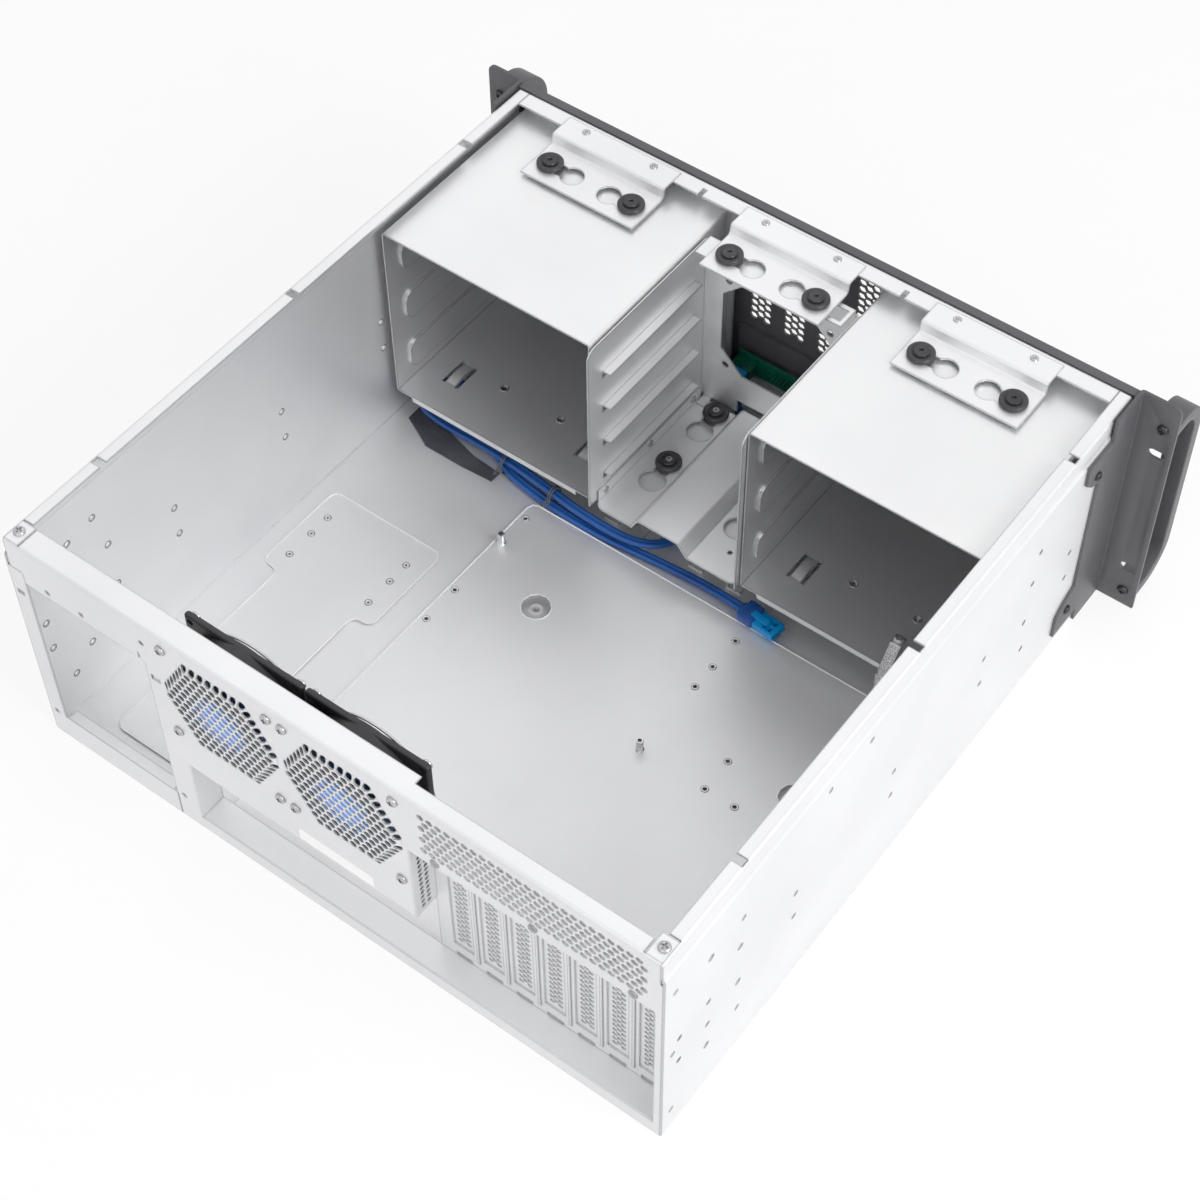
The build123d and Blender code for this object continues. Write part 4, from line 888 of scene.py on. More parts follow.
heal(tray, coarse_tray_hole)
near_points = [at(-WALL_X, depth, z) for depth, z in NEAR_WALL]
far_points = [at(WALL_X, depth, z) for depth, z in FAR_WALL]
bracket_points = [at(side * WALL_X, depth, z) for side in (-1, 1) for depth, z in BRACKET_HOLES]
floor_points = [at(x, depth, FLOOR_MIDDLE) for x, depth in BOARD_HOLES]
foot_points = [at(x, depth, FLOOR_MIDDLE) for x, depth in FOOT_HOLES]
punch(tray, pins(near_points + far_points, "x", WALL_HOLE_R, THROUGH_SHEET, 16))
punch(tray, pins(bracket_points, "x", BRACKET_HOLE_R, THROUGH_SHEET, 16))
punch(tray, pins(floor_points, "z", BOARD_HOLE_R, THROUGH_SHEET, 16))
punch(tray, pins(foot_points, "z", FOOT_HOLE_R, THROUGH_SHEET, 12))
smooth(tray, 25)
ready(tray, "bare_steel", "chassis_tray")
print("tray:", len(tray.data.polygons), "faces, open edges", open_edges(tray))

# %% [markdown]
# Under the power supply the floor is pressed up in the shape of a wide foot with a narrower stem
# towards the rear. Two blocks are joined into that outline, their upright edges are rounded and the
# screw holes go through.

# %% Pressed step under the power supply
STEP_FOOT = ((115.4, 161.0, 1.0), (200.8, 228.8, FOOT_TOP))
STEP_STEM = ((128.8, 20.0, 1.0), (187.3, 165.0, FOOT_TOP))
STEP_CORNER = 6.0
psu_step = bar("psu_step", *STEP_FOOT)
punch(psu_step, bar("stem", *STEP_STEM), "UNION")
bpy.ops.object.mode_set(mode="EDIT")
bpy.ops.mesh.select_mode(type="EDGE")
bpy.ops.mesh.select_all(action="DESELECT")
bpy.ops.object.mode_set(mode="OBJECT")
for edge in psu_step.data.edges:
    one, two = [psu_step.data.vertices[index].co for index in edge.vertices]
    edge.select = (one - two).xy.length < 0.01 * MM
bpy.ops.object.mode_set(mode="EDIT")
bpy.ops.mesh.bevel(offset=STEP_CORNER * MM, segments=5, affect="EDGES")
bpy.ops.object.mode_set(mode="OBJECT")
punch(psu_step, pins(foot_points, "z", FOOT_HOLE_R, THROUGH_SHEET, 12))
ready(psu_step, "bare_steel")
print("power supply step:", len(psu_step.data.polygons), "faces, open edges", open_edges(psu_step))

# %% [markdown]
# The sides of a pressed step get a darker copy of the steel, which is painted shade. Its rim is rounded,
# and a near-white finish on it is a painted highlight, a thin bright line. The rim edges are found on a
# copy of the piece: each lies between a level face and the side of a step. Everything else of the copy is
# deleted, and the edges that stay become a curve with a small round section.

# %% Sides with painted shade and rims with a painted highlight, on the pressed steps
RIM_R = 0.5
LEVEL = 0.97
SLOPED = 0.92
STEP_Z = (1.3, 3.35)
STEP_X = 205
STEP_DEPTH = (5, 432)


def on_step_height(point):
    inside = abs(point.x) < STEP_X and STEP_DEPTH[0] < depth_of(point) < STEP_DEPTH[1]
    return inside and STEP_Z[0] < point.z < STEP_Z[1]


def darken_sides(piece):
    # Painted shade: the sides of the steps get the darker copy of the steel
    piece.data.materials.append(painted_step_shade)
    for face in piece.data.polygons:
        if abs(face.normal.z) < SLOPED and on_step_height(face.center / MM):
            face.material_index = 1


def rims_of(piece):
    """A thin round line along each edge between a level face and the side of a step."""
    rims = bpy.data.objects.new("rims", piece.data.copy())
    bpy.context.scene.collection.objects.link(rims)
    tilts = {}
    for face in rims.data.polygons:
        for key in face.edge_keys:
            tilts.setdefault(key, []).append(face.normal.z)
    choose(rims)
    bpy.ops.object.mode_set(mode="EDIT")
    bpy.ops.mesh.select_mode(type="EDGE")
    bpy.ops.mesh.select_all(action="DESELECT")
    bpy.ops.object.mode_set(mode="OBJECT")
    for edge in rims.data.edges:
        inside = all(on_step_height(rims.data.vertices[index].co / MM) for index in edge.vertices)
        sides = tilts[edge.key]
        edge.select = not (inside and min(map(abs, sides)) < SLOPED and max(sides) > LEVEL)
    bpy.ops.object.mode_set(mode="EDIT")
    bpy.ops.mesh.delete(type="EDGE")
    bpy.ops.mesh.select_all(action="SELECT")
    bpy.ops.mesh.delete(type="ONLY_FACE")
    bpy.ops.object.mode_set(mode="OBJECT")
    bpy.ops.object.convert(target="CURVE")
    bpy.context.object.data.bevel_depth = RIM_R * MM
    bpy.context.object.data.bevel_resolution = 1
    bpy.ops.object.convert(target="MESH")
    rims = bpy.context.object
    rims.data.materials.clear()
    return smooth(rims, 60)


darken_sides(tray)
darken_sides(psu_step)
rims = joined("step_rims", [rims_of(tray), rims_of(psu_step)])
# The rims get the near-white finish, a painted highlight
ready(rims, painted_rim_highlight, slot="bare_steel")
print("rims:", len(rims.data.polygons), "faces")

# %% [markdown]
# A collar is a low ring with a rolled edge: a torus, made once and copied to every hole. The two wide
# dished spots in the floor are turned.

# %% Collars and dished spots
TO_PLUS_X = Matrix.Rotation(math.radians(90), 4, "Y")
TO_MINUS_X = Matrix.Rotation(math.radians(-90), 4, "Y")
TO_REAR = Matrix.Rotation(math.radians(-90), 4, "X")
TO_FRONT = Matrix.Rotation(math.radians(90), 4, "X")
WALL_FACE = 213.8
COLLARED = 12           # so many holes of the near wall have a collar, from the first on
COLLAR = (2.1, 0.42)


def placed(point, turn=None):
    return Matrix.Translation(point) @ (turn or Matrix.Identity(4))


def ring(name, radius, wire, sides=24):
    bpy.ops.object.select_all(action="DESELECT")
    bpy.ops.mesh.primitive_torus_add(major_radius=radius * MM, minor_radius=wire * MM,
                                     major_segments=sides, minor_segments=8)
    return smooth(settle(bpy.context.object, name), 60)


collar_turns = [placed(at(WALL_FACE, depth, z), TO_MINUS_X) for depth, z in FAR_WALL + BRACKET_HOLES]
collar_turns += [placed(at(-WALL_FACE, depth, z), TO_PLUS_X) for depth, z in NEAR_WALL[:COLLARED]]
collar_turns += [placed(at(x, depth, FOOT_TOP)) for x, depth in FOOT_HOLES]
collar_turns += [placed(at(x, depth, BOARD_TOP)) for x, depth in BOARD_HOLES]
collars = spread_out("hole_collars", ring("collar", *COLLAR), collar_turns)
ready(collars, "screw_steel", slot="bare_steel")

dish = turned("dish_screw", [(9.3, 0.0), (9.2, 0.15), (4.6, 0.15), (4.3, 0.35), (2.6, 0.45), (2.2, 0.2),
                             (0.8, 0.2), (0.6, 0.05)], 40)
dish_turns = [placed(at(x, depth, FLOOR_TOP)) for x, depth in DISHES]
ready(spread_out("floor_dishes", dish, dish_turns), "bare_steel")
print(len(collar_turns), "collars")

# %% [markdown]
# ## Screws
# A pan head is turned with its shank, and a cross recess is cut into the top. Every CAD screw is
# replaced by a copy scaled to its own head, placed by the box of the CAD solid.

# %% One pan head with a cross
SHANK_R = 1.25
CROSS = (1.05, 0.26)


def pan_screw(radius, height, shank):
    screw = turned("screw", [
        (SHANK_R, -shank), (SHANK_R, 0.0), (radius, 0.0), (radius, height * 0.35),
        (radius * 0.94, height * 0.62), (radius * 0.80, height * 0.85), (radius * 0.55, height)], 28)
    for turn in (0, 90):
        bpy.ops.object.select_all(action="DESELECT")
        bpy.ops.mesh.primitive_cube_add(size=1.0, location=(0.0, 0.0, height * MM),
                                        rotation=(0.0, 0.0, math.radians(turn)))
        slot = bpy.context.object
        slot.scale = (radius * CROSS[0] * MM, radius * CROSS[1] * MM, height * MM)
        punch(screw, settle(slot))
    return smooth(screw, 38)


def screws_for(node, name, finish, axis, height, shank):
    """Copies of a pan head on the outer face of each CAD screw; axis is where the heads look."""
    boxes = solids_of(node)
    low, high = boxes[0]
    radius = (high.x - low.x) / 2 / MM
    turns = []
    for low, high in boxes:
        middle = (low + high) / 2
        if axis == "z":
            turns.append(placed(Vector((middle.x, middle.y, high.z - height * MM))))
        elif axis == "rear":
            turns.append(placed(Vector((middle.x, high.y - height * MM, middle.z)), TO_REAR))
        elif middle.x > 0:
            turns.append(placed(Vector((high.x - height * MM, middle.y, middle.z)), TO_PLUS_X))
        else:
            turns.append(placed(Vector((low.x + height * MM, middle.y, middle.z)), TO_MINUS_X))
    piece = spread_out(name, pan_screw(radius * 0.98, height, shank), turns)
    ready(piece, finish, node)
    print(name, len(turns), "heads of radius", round(radius, 2))


screws_for("rear_screws", "rear_screws_turned", "screw_steel", "z", 1.7, 3.5)
screws_for("fan_screws", "fan_screws_turned", "screw_steel", "rear", 1.9, 9.0)
screws_for("handle_screws", "handle_screws_turned", "black_screw", "rear", 1.9, 9.0)
screws_for("ear_screws", "ear_screws_turned", "black_screw", "side", 1.7, 3.5)
screws_for("clamp_screw", "clamp_screw_turned", "screw_steel", "z", 2.5, 3.5)

# %% [markdown]
# ## Rubber grommets
# Each cage hangs and each tray stands on soft grommets in keyholes. A grommet is a fat rubber ring
# with a raised boss round its screw, so its whole profile is turned in one go.

# %% Grommets and their screws
GROMMET_BODY = 3.5
KEY_NECK = 3.9
HANGER_SHEET = 1.2
TRAY_SHEET = 1.0
HUNG_ABOVE = 0.1
hung, stood, hung_screws, stood_screws = [], [], [], []
for low, high in solids_of("grommets"):
    middle = (low + high) / 2
    is_hung = high.z > HUNG_ABOVE
    base = high.z - (GROMMET_BODY + (HANGER_SHEET if is_hung else TRAY_SHEET)) * MM
    (hung if is_hung else stood).append(placed(Vector((middle.x, middle.y, base))))
    top = Vector((middle.x, middle.y, high.z))
    (hung_screws if is_hung else stood_screws).append(placed(top))


def grommet(sheet):
    top = sheet + GROMMET_BODY
    return turned("grommet", [
        (6.6, -2.1), (7.7, -1.7), (7.7, -0.4), (7.3, 0.0), (KEY_NECK, 0.0), (KEY_NECK, sheet),
        (7.2, sheet), (8.0, sheet + 0.4), (8.35, sheet + 1.2), (8.3, top - 1.0), (7.8, top - 0.3),
        (7.0, top), (6.3, top), (5.6, top - 0.4), (5.2, top - 0.45), (2.0, top - 0.45)], 40)


# The boss is the screw's own wide head: dark with a small hollow, or with a bright cross screw in it
BOSS = [(SHANK_R, -6.0), (SHANK_R, -0.4), (4.7, -0.4), (4.75, 0.5), (4.4, 1.0), (3.7, 1.2)]
BOSS_TOP = 0.8
pieces = [spread_out("hung", grommet(HANGER_SHEET), hung),
          spread_out("stood", grommet(TRAY_SHEET), stood)]
ready(joined("grommets_moulded", pieces), "black_rubber", "grommets")
hollow = turned("boss", BOSS + [(1.5, 1.2), (1.2, 0.9), (1.1, 0.1)], 32)
plain = turned("boss", BOSS + [(0.5, 1.2)], 32)
dark_heads = [spread_out("hollow", hollow, hung_screws), spread_out("plain", plain, stood_screws)]
ready(joined("grommet_screws_dark", dark_heads), "black_screw", "grommet_screws")
stood_heads = [Matrix.Translation((0.0, 0.0, BOSS_TOP * MM)) @ turn for turn in stood_screws]
bright_heads = spread_out("grommet_screws_bright", pan_screw(2.3, 0.6, 0.4), stood_heads)
ready(bright_heads, "screw_steel", "grommet_screws")
print(len(hung), "hung and", len(stood), "standing grommets")

# %% [markdown]
# ## Brackets and bay tray
# The keyholes are round in the real sheets. The coarse ones in the CAD lie just inside the round
# outline, so punching the round shape over them is enough.

# %% Round keyholes
HANGER_SHELF_Z = 167.9
KEY_D = 401.3
KEY_WIDE_X = 13.7
KEY_WIDE_R = 7.46
KEY_END_X = 30.0
KEY_END_R = 4.46
TRAY_KEY_R = 8.36
TRAY_KEY_RUN = 17.0
TRAY_TOP = 27.5
TRAY_KEYS = [(x, depth) for x in (35.2, -28.0) for depth in (352.0, 402.0)]
for name in ("left", "middle", "right"):
    low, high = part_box("hanger_bracket_" + name)
    centre_x = (low.x + high.x) / 2 / MM
    bracket = cad_copy("hanger_bracket_" + name, "hanger_" + name + "_punched")
    places = [[at(centre_x + side * x, KEY_D, HANGER_SHELF_Z) for x in (KEY_WIDE_X, KEY_END_X)]
              for side in (-1, 1)]
    for tool in keyhole_pins(places, KEY_WIDE_R, KEY_END_R, 6.0):
        punch(bracket, tool)
    smooth(bracket, 25)
    ready(bracket, "bare_steel", "hanger_bracket_" + name)

bay_tray = cad_copy("bay_tray", "bay_tray_punched")
places = [(at(x, depth - TRAY_KEY_RUN, TRAY_TOP), at(x, depth, TRAY_TOP)) for x, depth in TRAY_KEYS]
for tool in keyhole_pins(places, TRAY_KEY_R, KEY_END_R, 5.0):
    punch(bay_tray, tool)
smooth(bay_tray, 25)
ready(bay_tray, "bare_steel", "bay_tray")
print("brackets and bay tray punched; bay tray", len(bay_tray.data.polygons), "faces")

# %% [markdown]
# ## Rear fans
# An 80 mm fan: two square flanges, a round tunnel between them, a hub plate on four arms, and a rotor
# with seven swept blades that turns. The frame stays black plastic; a wire guard stands inside.

# %% Fan frames
FAN_SIZE = 80.0
FAN_BOLT = 35.75
FAN_BORE_R = 38.0
FAN_BACK = 1.2
FAN_FACE = 26.2
FAN_MIDDLE = 13.0
FAN_FLANGE = 4.0
FAN_CORNER = 1.6
FAN_WALL = 2.0
FAN_BOLT_HOLE_R = 2.2
FAN_PIN = 40.0
BORE_SIDES = 72
HUB_PLATE = (17.0, 3.0)
ARM_SECTION = (2.8, 3.8)
ARM_TURNS = (45, 135)


def about_fan(degrees):
    return Matrix.Rotation(math.radians(degrees), 4, "Y")


def fan_frame(number, x):
    half = FAN_SIZE / 2
    deep = FAN_FACE - FAN_BACK
    low = (x - half, FAN_BACK, FAN_Z - half)
    high = (x + half, FAN_BACK + FAN_FLANGE, FAN_Z + half)
    flange = bar("fan_flange", low, high, FAN_CORNER, 3)
    second = copies(flange, [Matrix.Translation((0.0, -(deep - FAN_FLANGE) * MM, 0.0))])[0]
    middle = at(x, (FAN_BACK + FAN_FACE) / 2, FAN_Z)
    tunnel = pins([middle], "y", FAN_BORE_R + FAN_WALL, deep - 0.4, BORE_SIDES)
    punch(flange, tunnel, "UNION")
    punch(flange, second, "UNION")
    punch(flange, pins([at(x, FAN_MIDDLE, FAN_Z)], "y", FAN_BORE_R, FAN_PIN, BORE_SIDES))
    bolts = [at(x + i * FAN_BOLT, FAN_MIDDLE, FAN_Z + j * FAN_BOLT) for i in (-1, 1) for j in (-1, 1)]
    punch(flange, pins(bolts, "y", FAN_BOLT_HOLE_R, FAN_PIN, 16))
    plate_middle = at(x, FAN_BACK + HUB_PLATE[1] / 2, FAN_Z)
    plate = pins([plate_middle], "y", *HUB_PLATE, 48)
    arms = []
    for degrees in ARM_TURNS:
        bpy.ops.object.select_all(action="DESELECT")
        bpy.ops.mesh.primitive_cube_add(size=1.0)
        arm = bpy.context.object
        arm.scale = (2 * (FAN_BORE_R + 0.6) * MM, ARM_SECTION[0] * MM, ARM_SECTION[1] * MM)
        settle(arm)
        arm.data.transform(placed(plate_middle) @ about_fan(degrees))
        arms.append(arm)
    frame_piece = joined(f"fan_frame_moulded_{number}", [flange, plate] + arms)
    smooth(frame_piece, 30)
    ready(frame_piece, "black_plastic", f"fan_frame_{number}")


for number, x in enumerate(FAN_X, start=1):
    fan_frame(number, x)
print("two fan frames")

# %% [markdown]
# The rotor's blades are swept and twisted, which no primitive has. One blade is a grid whose points
# are moved by a formula: the angle of the blade grows with height and lags towards the tip.

# %% Rotors
HUB_R = 16.5
BLADE_TIP = 36.4
BLADES = 7
ROTOR_LOW = 4.7


def blade():
    bpy.ops.object.select_all(action="DESELECT")
    bpy.ops.mesh.primitive_grid_add(x_subdivisions=7, y_subdivisions=6, size=2.0)
    piece = bpy.context.object
    for vertex in piece.data.vertices:
        out = (vertex.co.x + 1) / 2
        up = (vertex.co.y + 1) / 2
        radius = HUB_R - 1.0 + (BLADE_TIP - HUB_R + 1.0) * out
        half_angle = math.radians(17 + 3 * out)
        turn = (up - 0.5) * 2 * half_angle - math.radians(14) * out ** 1.6 + 0.06 * math.sin(math.pi * up)
        height = 2.2 + 13.4 * up - 0.9 * math.sin(math.pi * up)
        vertex.co = Vector((radius * math.sin(turn), radius * math.cos(turn), height)) * MM
    use_modifier(piece, "SOLIDIFY", thickness=1.2 * MM, offset=0.0)
    return smooth(piece, 50)


def rotor(number, x):
    hub = turned("hub", [
        (HUB_R - 1, 0.3), (HUB_R, 1.0), (HUB_R, 15.6), (HUB_R - 0.7, 17.1), (HUB_R - 2.2, 17.8),
        (12.0, 17.9), (11.6, 17.5), (5.0, 17.5), (4.6, 17.8), (1.0, 17.8)], 48)
    around = [Matrix.Rotation(math.tau / BLADES * turn, 4, "Z") for turn in range(BLADES)]
    blades = spread_out("blades", blade(), around)
    piece = joined(f"fan_rotor_moulded_{number}", [hub, blades])
    piece.data.transform(placed(at(x, ROTOR_LOW, FAN_Z), TO_FRONT))
    ready(piece, "rotor_plastic", f"fan_rotor_{number}", body=f"rear_rotor_{number}")


for number, x in enumerate(FAN_X, start=1):
    rotor(number, x)
    label = turned("label", [(15.6, 0.0), (15.6, 0.2), (15.2, 0.25), (1.0, 0.25)], 40)
    label.data.transform(placed(at(x, FAN_BACK, FAN_Z), TO_REAR))
    label.name = f"fan_hub_label_{number}"
    ready(label, fan_label, slot="rotor_plastic")
print("two rotors with", BLADES, "blades")

# %% [markdown]
# A wire guard is welded from rings and two spokes, with an eye round each screw: each ring and eye is
# a torus, each spoke a thin rod.

# %% Wire guards
WIRE_R = 0.75
GUARD_RINGS = (36.2, 28.6, 21.2)
GUARD_DEPTH = 29.2
SPOKE_LENGTH = 96.0
SPOKE_DROP = 1.4
EYE_R = 2.4


def guard(number, x):
    parts = []
    for radius in GUARD_RINGS:
        hoop = ring("hoop", radius, WIRE_R, 64)
        hoop.data.transform(placed(at(x, GUARD_DEPTH, FAN_Z), TO_REAR))
        parts.append(hoop)
    for degrees in ARM_TURNS:
        rod = pins([Vector((0.0, 0.0, 0.0))], "x", WIRE_R, SPOKE_LENGTH, 10)
        rod.data.transform(placed(at(x, GUARD_DEPTH - SPOKE_DROP, FAN_Z)) @ about_fan(degrees))
        parts.append(rod)
    for i in (-1, 1):
        for j in (-1, 1):
            eye = ring("eye", EYE_R, WIRE_R, 20)
            place = at(x + i * FAN_BOLT, FAN_FACE + WIRE_R, FAN_Z + j * FAN_BOLT)
            eye.data.transform(placed(place, TO_REAR))
            parts.append(eye)
    piece = joined(f"fan_guard_wire_{number}", parts)
    smooth(piece, 60)
    ready(piece, "guard_wire", f"fan_guard_{number}")


for number, x in enumerate(FAN_X, start=1):
    guard(number, x)
print("two guards")

# %% [markdown]
# ## Lead, plug, ribbon and ties
# The lead gets its finish. Its plug is two moulded blocks: a dark body that
# holds the lead, and a bright tip with two windows, in line with the last run of the route.

# %% Plug on the lead
lead.data.materials.append(blue_cable)
plug_end = at(*LEAD_ROUTE[-1])
plug_way = (plug_end - at(*LEAD_ROUTE[-2])).normalized()
side_way = Vector((0.0, 0.0, 1.0)).cross(plug_way).normalized()
up_way = plug_way.cross(side_way)
PLUG_TURN = Matrix.Translation(plug_end) @ Matrix((side_way, up_way, plug_way)).transposed().to_4x4()


def moulded(name, size, middle, edge):
    """A rounded block, given across, up and along, in millimetres."""
    bpy.ops.object.select_all(action="DESELECT")
    bpy.ops.mesh.primitive_cube_add(size=1.0, location=[value * MM for value in middle])
    piece = bpy.context.object
    piece.scale = [value * MM for value in size]
    settle(piece, name)
    if edge:
        use_modifier(piece, "BEVEL", width=edge * MM, segments=3)
    return piece


body = moulded("plug_body", (14.4, 6.2, 11.4), (0.0, 0.0, 6.0), 1.0)
neck = moulded("plug_neck", (8.0, 4.6, 4.0), (0.0, 0.0, 0.6), 0.8)
ribs = [moulded("rib", (15.0, 0.9, 0.9), (0.0, 2.9, z), 0.3) for z in (3.2, 5.2, 7.2)]
dark = smooth(joined("lead_plug_body", [body, neck] + ribs), 40)
dark.data.transform(PLUG_TURN)
ready(dark, "blue_cable", "lead_plug", slot="blue_plug")
tip = moulded("plug_tip", (12.2, 4.9, 16.0), (0.0, -0.6, 19.6), 0.5)
for x in (-2.6, 2.6):
    punch(tip, moulded("window", (3.0, 3.0, 6.0), (x, 1.6, 21.5), 0.0))
punch(tip, moulded("mouth", (9.6, 2.2, 8.0), (0.0, -0.6, 26.0), 0.0))
latch = moulded("latch", (4.8, 1.1, 13.0), (0.0, 2.6, 14.0), 0.3)
bright = smooth(joined("lead_plug_tip", [tip, latch]), 40)
bright.data.transform(PLUG_TURN)
ready(bright, "blue_plug", "lead_plug")

low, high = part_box("board_plug")
BOARD_PLUG = [(low.x / MM, depth_of(high / MM), low.z / MM), (high.x / MM, depth_of(low / MM), high.z / MM)]
socket = bar("board_plug_moulded", BOARD_PLUG[0], BOARD_PLUG[1], 0.6)
ready(socket, "blue_plug", "board_plug")

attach(lead, "case")
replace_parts(lead, "usb_lead")
print("lead and plug, way", [round(value, 2) for value in plug_way])

# %% [markdown]
# The switch leads are a flat fan of fine dark strands. A grid is laid between its two side edges and
# its points are lifted in rounded ridges, one for each strand.

# %% Ribbon of strands
RIBBON_FRONT = ((203.6, 317.4), (150.0, 303.0), (128.4, 301.2))
RIBBON_REAR = ((203.6, 303.4), (180.0, 291.5), (152.0, 291.5), (128.4, 293.0))
STRANDS = 13
RIBBON_LOW = 1.35
STRAND_LIFT = 0.95


def along(points, share):
    """A point at a share of the way along a line of points, by number of runs."""
    place = share * (len(points) - 1)
    index = min(int(place), len(points) - 2)
    part = place - index
    return [a + (b - a) * part for a, b in zip(points[index], points[index + 1])]


bpy.ops.object.select_all(action="DESELECT")
bpy.ops.mesh.primitive_grid_add(x_subdivisions=24, y_subdivisions=STRANDS * 6, size=2.0)
ribbon = bpy.context.object
for vertex in ribbon.data.vertices:
    run = (vertex.co.x + 1) / 2
    across = (vertex.co.y + 1) / 2
    one = along(RIBBON_FRONT, run)
    two = along(RIBBON_REAR, run)
    x = one[0] + (two[0] - one[0]) * across
    depth = one[1] + (two[1] - one[1]) * across
    ridge = abs(math.sin(math.pi * across * STRANDS)) ** 0.6
    wave = 0.25 + 0.25 * math.sin(9 * run + 5 * across)
    vertex.co = at(x, depth, RIBBON_LOW + (STRAND_LIFT - 0.3 + 0.3 * wave) * ridge)
use_modifier(ribbon, "SOLIDIFY", thickness=0.12 * MM, offset=-1.0)
settle(ribbon, "ribbon_strands")
choose(ribbon)
bpy.ops.object.mode_set(mode="EDIT")
bpy.ops.mesh.select_all(action="SELECT")
bpy.ops.mesh.normals_make_consistent(inside=False)
bpy.ops.object.mode_set(mode="OBJECT")
smooth(ribbon, 60)
ready(ribbon, "dark_ribbon", "ribbon")
print("ribbon of", STRANDS, "strands")

# %% [markdown]
# Two wire ties hold both runs of the lead. Each is two loops of thin wire with its ends twisted:
# the loops are tori squeezed to an upright oval, the twist a row of small slanted rods.

# %% Wire ties
TIE_PLACES = ((126.0, 304.8), (86.0, 302.0))
TIE_HALF = (5.75, 7.2)
TIE_MIDDLE_Z = 8.9
TIE_WIRE = 0.45


def wire_tie(x, depth):
    parts = []
    upright = Matrix.Rotation(math.radians(90), 4, "Y") @ Matrix.Rotation(math.radians(90), 4, "Z")
    for shift in (-0.75, 0.75):
        loop = ring("loop", TIE_HALF[0], TIE_WIRE, 32)
        oval = Matrix.Diagonal((1.0, TIE_HALF[1] / TIE_HALF[0], 1.0, 1.0))
        loop.data.transform(placed(at(x + shift, depth, TIE_MIDDLE_Z), upright @ oval))
        parts.append(loop)
    for step in range(7):
        rod = pins([Vector((0.0, 0.0, 0.0))], "z", TIE_WIRE, 2.4, 8)
        place = at(x, depth - TIE_HALF[0] - 0.2 - step * 0.9, TIE_MIDDLE_Z + 3.0 - step * 0.25)
        lean = Matrix.Rotation(math.radians(50 if step % 2 else -50), 4, "Y")
        rod.data.transform(placed(place, lean))
        parts.append(rod)
    return joined("tie", parts)


ties = joined("wire_ties", [wire_tie(x, depth) for x, depth in TIE_PLACES])
ready(smooth(ties, 60), "grey_tie", "cable_ties")
print("two ties")

# %% [markdown]
# ## Small parts
# Standoffs are turned posts with a threaded hole. The bare label strip is a thin plate.
# Rivets are flat turned heads. Buttons and lamps are turned too, each button riding its own body.

# %% Standoffs, label strip, rivets
STRIP = ((-29.75, -0.14, 63.5), (21.25, 0.0, 73.25))
RING_SCREW_X = (-75.0, -136.2, -196.5)
RING_SCREW_Z = 130.4
FLAT_RIVET = 2.0
post = turned("post", [(1.5, -1.1), (1.5, 0.0), (2.7, 0.0), (2.7, 0.5), (2.2, 0.9), (2.2, 8.6), (2.0, 9.0),
                       (1.3, 9.0), (1.2, 8.5), (1.2, 4.0)], 24)
ready(spread_out("standoffs_turned", post, [placed(at(x, depth, BOARD_TOP)) for x, depth in STANDOFFS]),
      "standoff_metal", "standoffs")
strip = bar("label_strip", *STRIP)
ready(strip, white_label, slot="bare_steel")
head = turned("rivet", [(2.5, 0.0), (2.5, 0.4), (2.2, 0.7), (1.2, 0.75), (0.8, 0.45), (0.2, 0.45)], 20)
rivet_turns = []
for low, high in solids_of("rivets"):
    middle = (low + high) / 2
    if high.z - low.z < FLAT_RIVET * MM:
        rivet_turns.append(placed(Vector((middle.x, middle.y, low.z))))
    elif middle.x > 0:
        rivet_turns.append(placed(Vector((high.x, middle.y, middle.z)), TO_MINUS_X))
    else:
        rivet_turns.append(placed(Vector((low.x, middle.y, middle.z)), TO_PLUS_X))
ready(spread_out("rivets_turned", head, rivet_turns), "screw_steel", "rivets", slot="bare_steel")
ring_screw = turned("ring_screw", [
    (2.9, 0.0), (2.9, 0.5), (2.4, 0.9), (1.9, 0.5), (1.6, 0.3), (0.9, 0.3), (0.7, 0.1)], 24)
ring_places = [placed(at(x, 0.0, RING_SCREW_Z), TO_REAR) for x in RING_SCREW_X]
rings = spread_out("ring_screws", ring_screw, ring_places)
ready(rings, "screw_steel", slot="bare_steel")
print(len(rivet_turns), "rivets")

# %% [markdown]
# The buttons have a rounded cap with a shallow hollow for the finger, the lamps a domed lens.

# %% Buttons and lamps
BUTTON_RIM = 1.6
for node, name, body in (("power_button", "power_button_moulded", "power"),
                         ("reset_button", "reset_button_moulded", "reset")):
    low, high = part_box(node)
    middle = (low + high) / 2
    outer = (high.x - low.x) / 2 / MM
    reach = (high.y - low.y) / MM
    cap = outer - BUTTON_RIM
    steps = [(outer * 0.97, 0.0), (outer * 0.97, 1.9), (cap * 0.97, 1.9), (cap * 0.97, reach - 0.9),
             (cap * 0.90, reach - 0.25), (cap * 0.78, reach), (cap * 0.62, reach - 0.2),
             (cap * 0.3, reach - 0.5), (cap * 0.05, reach - 0.55)]
    piece = turned(name, steps, 40)
    piece.data.transform(placed(Vector((middle.x, high.y, middle.z)), TO_FRONT))
    ready(piece, "charcoal_plastic", node, body=body)
lens_turns = []
for low, high in solids_of("status_lamps"):
    middle = (low + high) / 2
    reach = (high.y - low.y) / MM
    lens_turns.append(placed(Vector((middle.x, high.y, middle.z)), TO_FRONT))
lens = turned("lens", [
    (1.45, 0.0), (1.45, reach - 0.8), (1.3, reach - 0.3), (0.8, reach - 0.03), (0.1, reach)], 24)
ready(spread_out("status_lamps_turned", lens, lens_turns), "lamp_lens", "status_lamps")
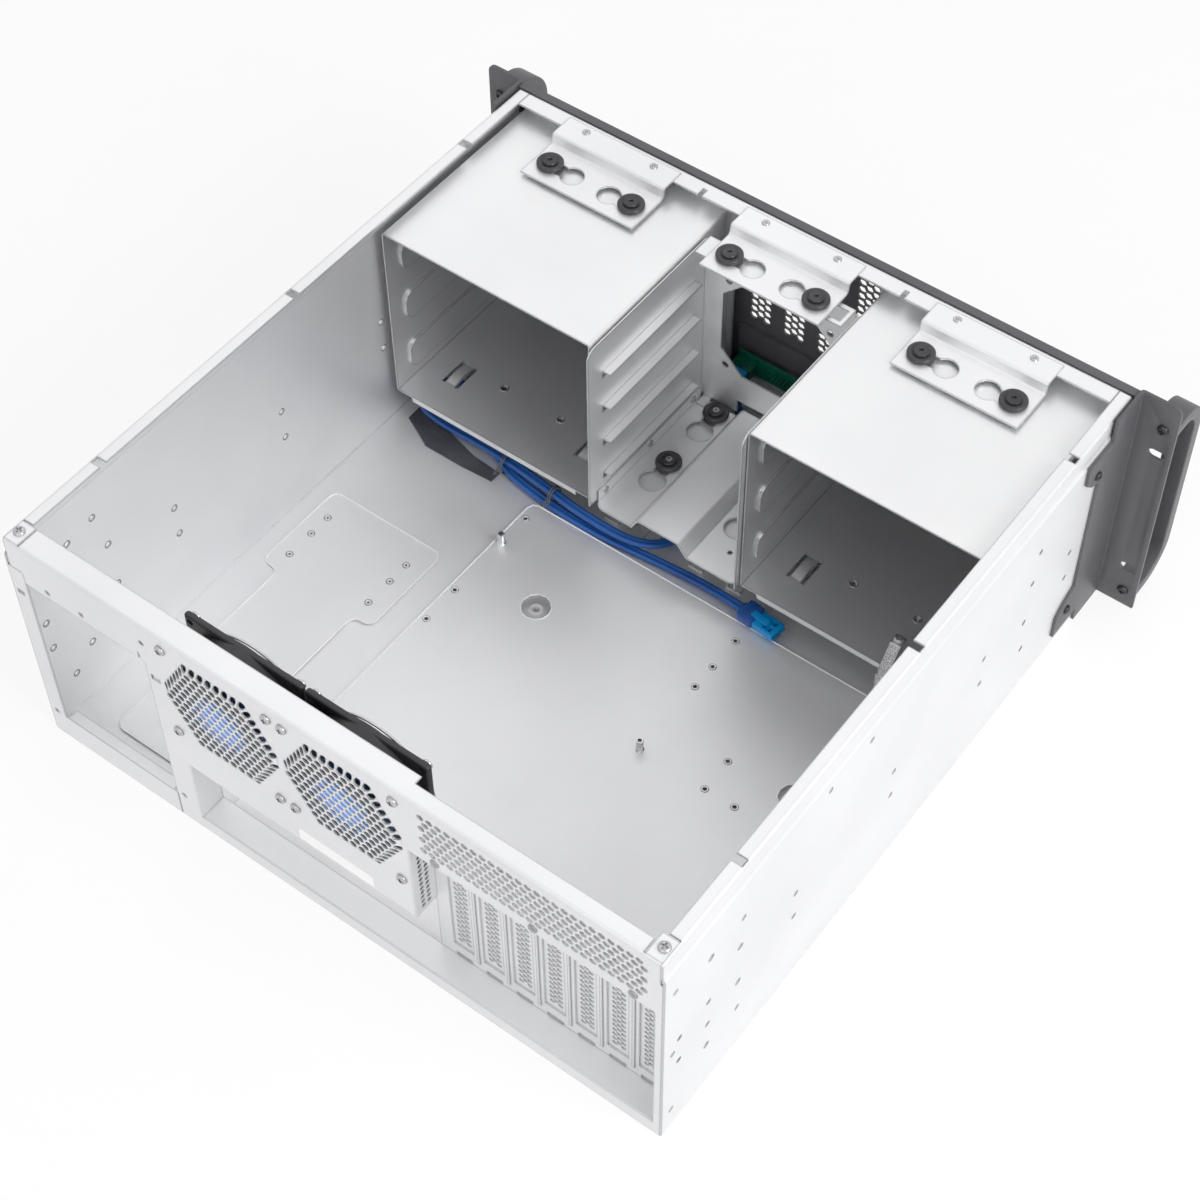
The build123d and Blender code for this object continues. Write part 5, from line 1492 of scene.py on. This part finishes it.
print("buttons and lamps")

# %% [markdown]
# ## Ears and handles
# The ears are bent plate, the handles thick bowed bars. Both are CAD forms whose edges the real
# castings round off, so a copy is bevelled: the plate finely, the bar with a full soft edge.

# %% Bevel the ears and the handles
SOFT_ABOVE = math.radians(50)
ROUNDED = (("handle_", 1.6, 4), ("rack_ear_", 0.25, 2))
for side in ("left", "right"):
    for kind, width, segments in ROUNDED:
        piece = cad_copy(kind + side, kind + side + "_rounded", whole_faces=True)
        use_modifier(piece, "BEVEL", width=width * MM, segments=segments,
                     limit_method="ANGLE", angle_limit=SOFT_ABOVE)
        smooth(piece, 40)
        ready(piece, "charcoal_paint", kind + side)
print("ears and handles")

# %% [markdown]
# ## Spring tabs and collars in the cages
# Each cage has sprung tabs in its bottom: a tongue between two slots, bowed up at its middle. The
# tongue is a grid lifted by half a sine and given the sheet's thickness.

# %% Tabs and collars
TAB_X = 51.8
TAB_SIZE = (7.4, 18.6)
TAB_LIFT = 1.3
TAB_DEPTH = 331.0
CAGE_HOLE_X = 22.2
CAGE_HOLE_DEPTH = 339.0
CAGE_X = 130.6
CAGE_FOOT = 3.5
CAGE_SHEET = 1.0
TAB_SHEET = 0.9
TAB_START = 0.05
cage_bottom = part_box("drive_cage_left")[0].z / MM + CAGE_FOOT + CAGE_SHEET
bpy.ops.object.select_all(action="DESELECT")
bpy.ops.mesh.primitive_grid_add(x_subdivisions=4, y_subdivisions=12, size=2.0)
tab = bpy.context.object
for vertex in tab.data.vertices:
    bow = math.cos(math.pi / 2 * vertex.co.y)
    vertex.co = Vector((vertex.co.x * TAB_SIZE[0] / 2, vertex.co.y * TAB_SIZE[1] / 2, TAB_LIFT * bow)) * MM
use_modifier(tab, "SOLIDIFY", thickness=TAB_SHEET * MM, offset=-1.0)
smooth(tab, 40)
tab_turns = [placed(at(side * CAGE_X + end * TAB_X, TAB_DEPTH, cage_bottom + TAB_START))
             for side in (-1, 1) for end in (-1, 1)]
ready(spread_out("spring_tabs", tab, tab_turns), "cage_steel")
ring_turns = [placed(at(side * CAGE_X + end * CAGE_HOLE_X, CAGE_HOLE_DEPTH, cage_bottom))
              for side in (-1, 1) for end in (-1, 1)]
ready(spread_out("cage_collars", ring("collar", 2.5, 0.4), ring_turns), "screw_steel", slot="cage_steel")
print("tabs at height", round(cage_bottom, 2))
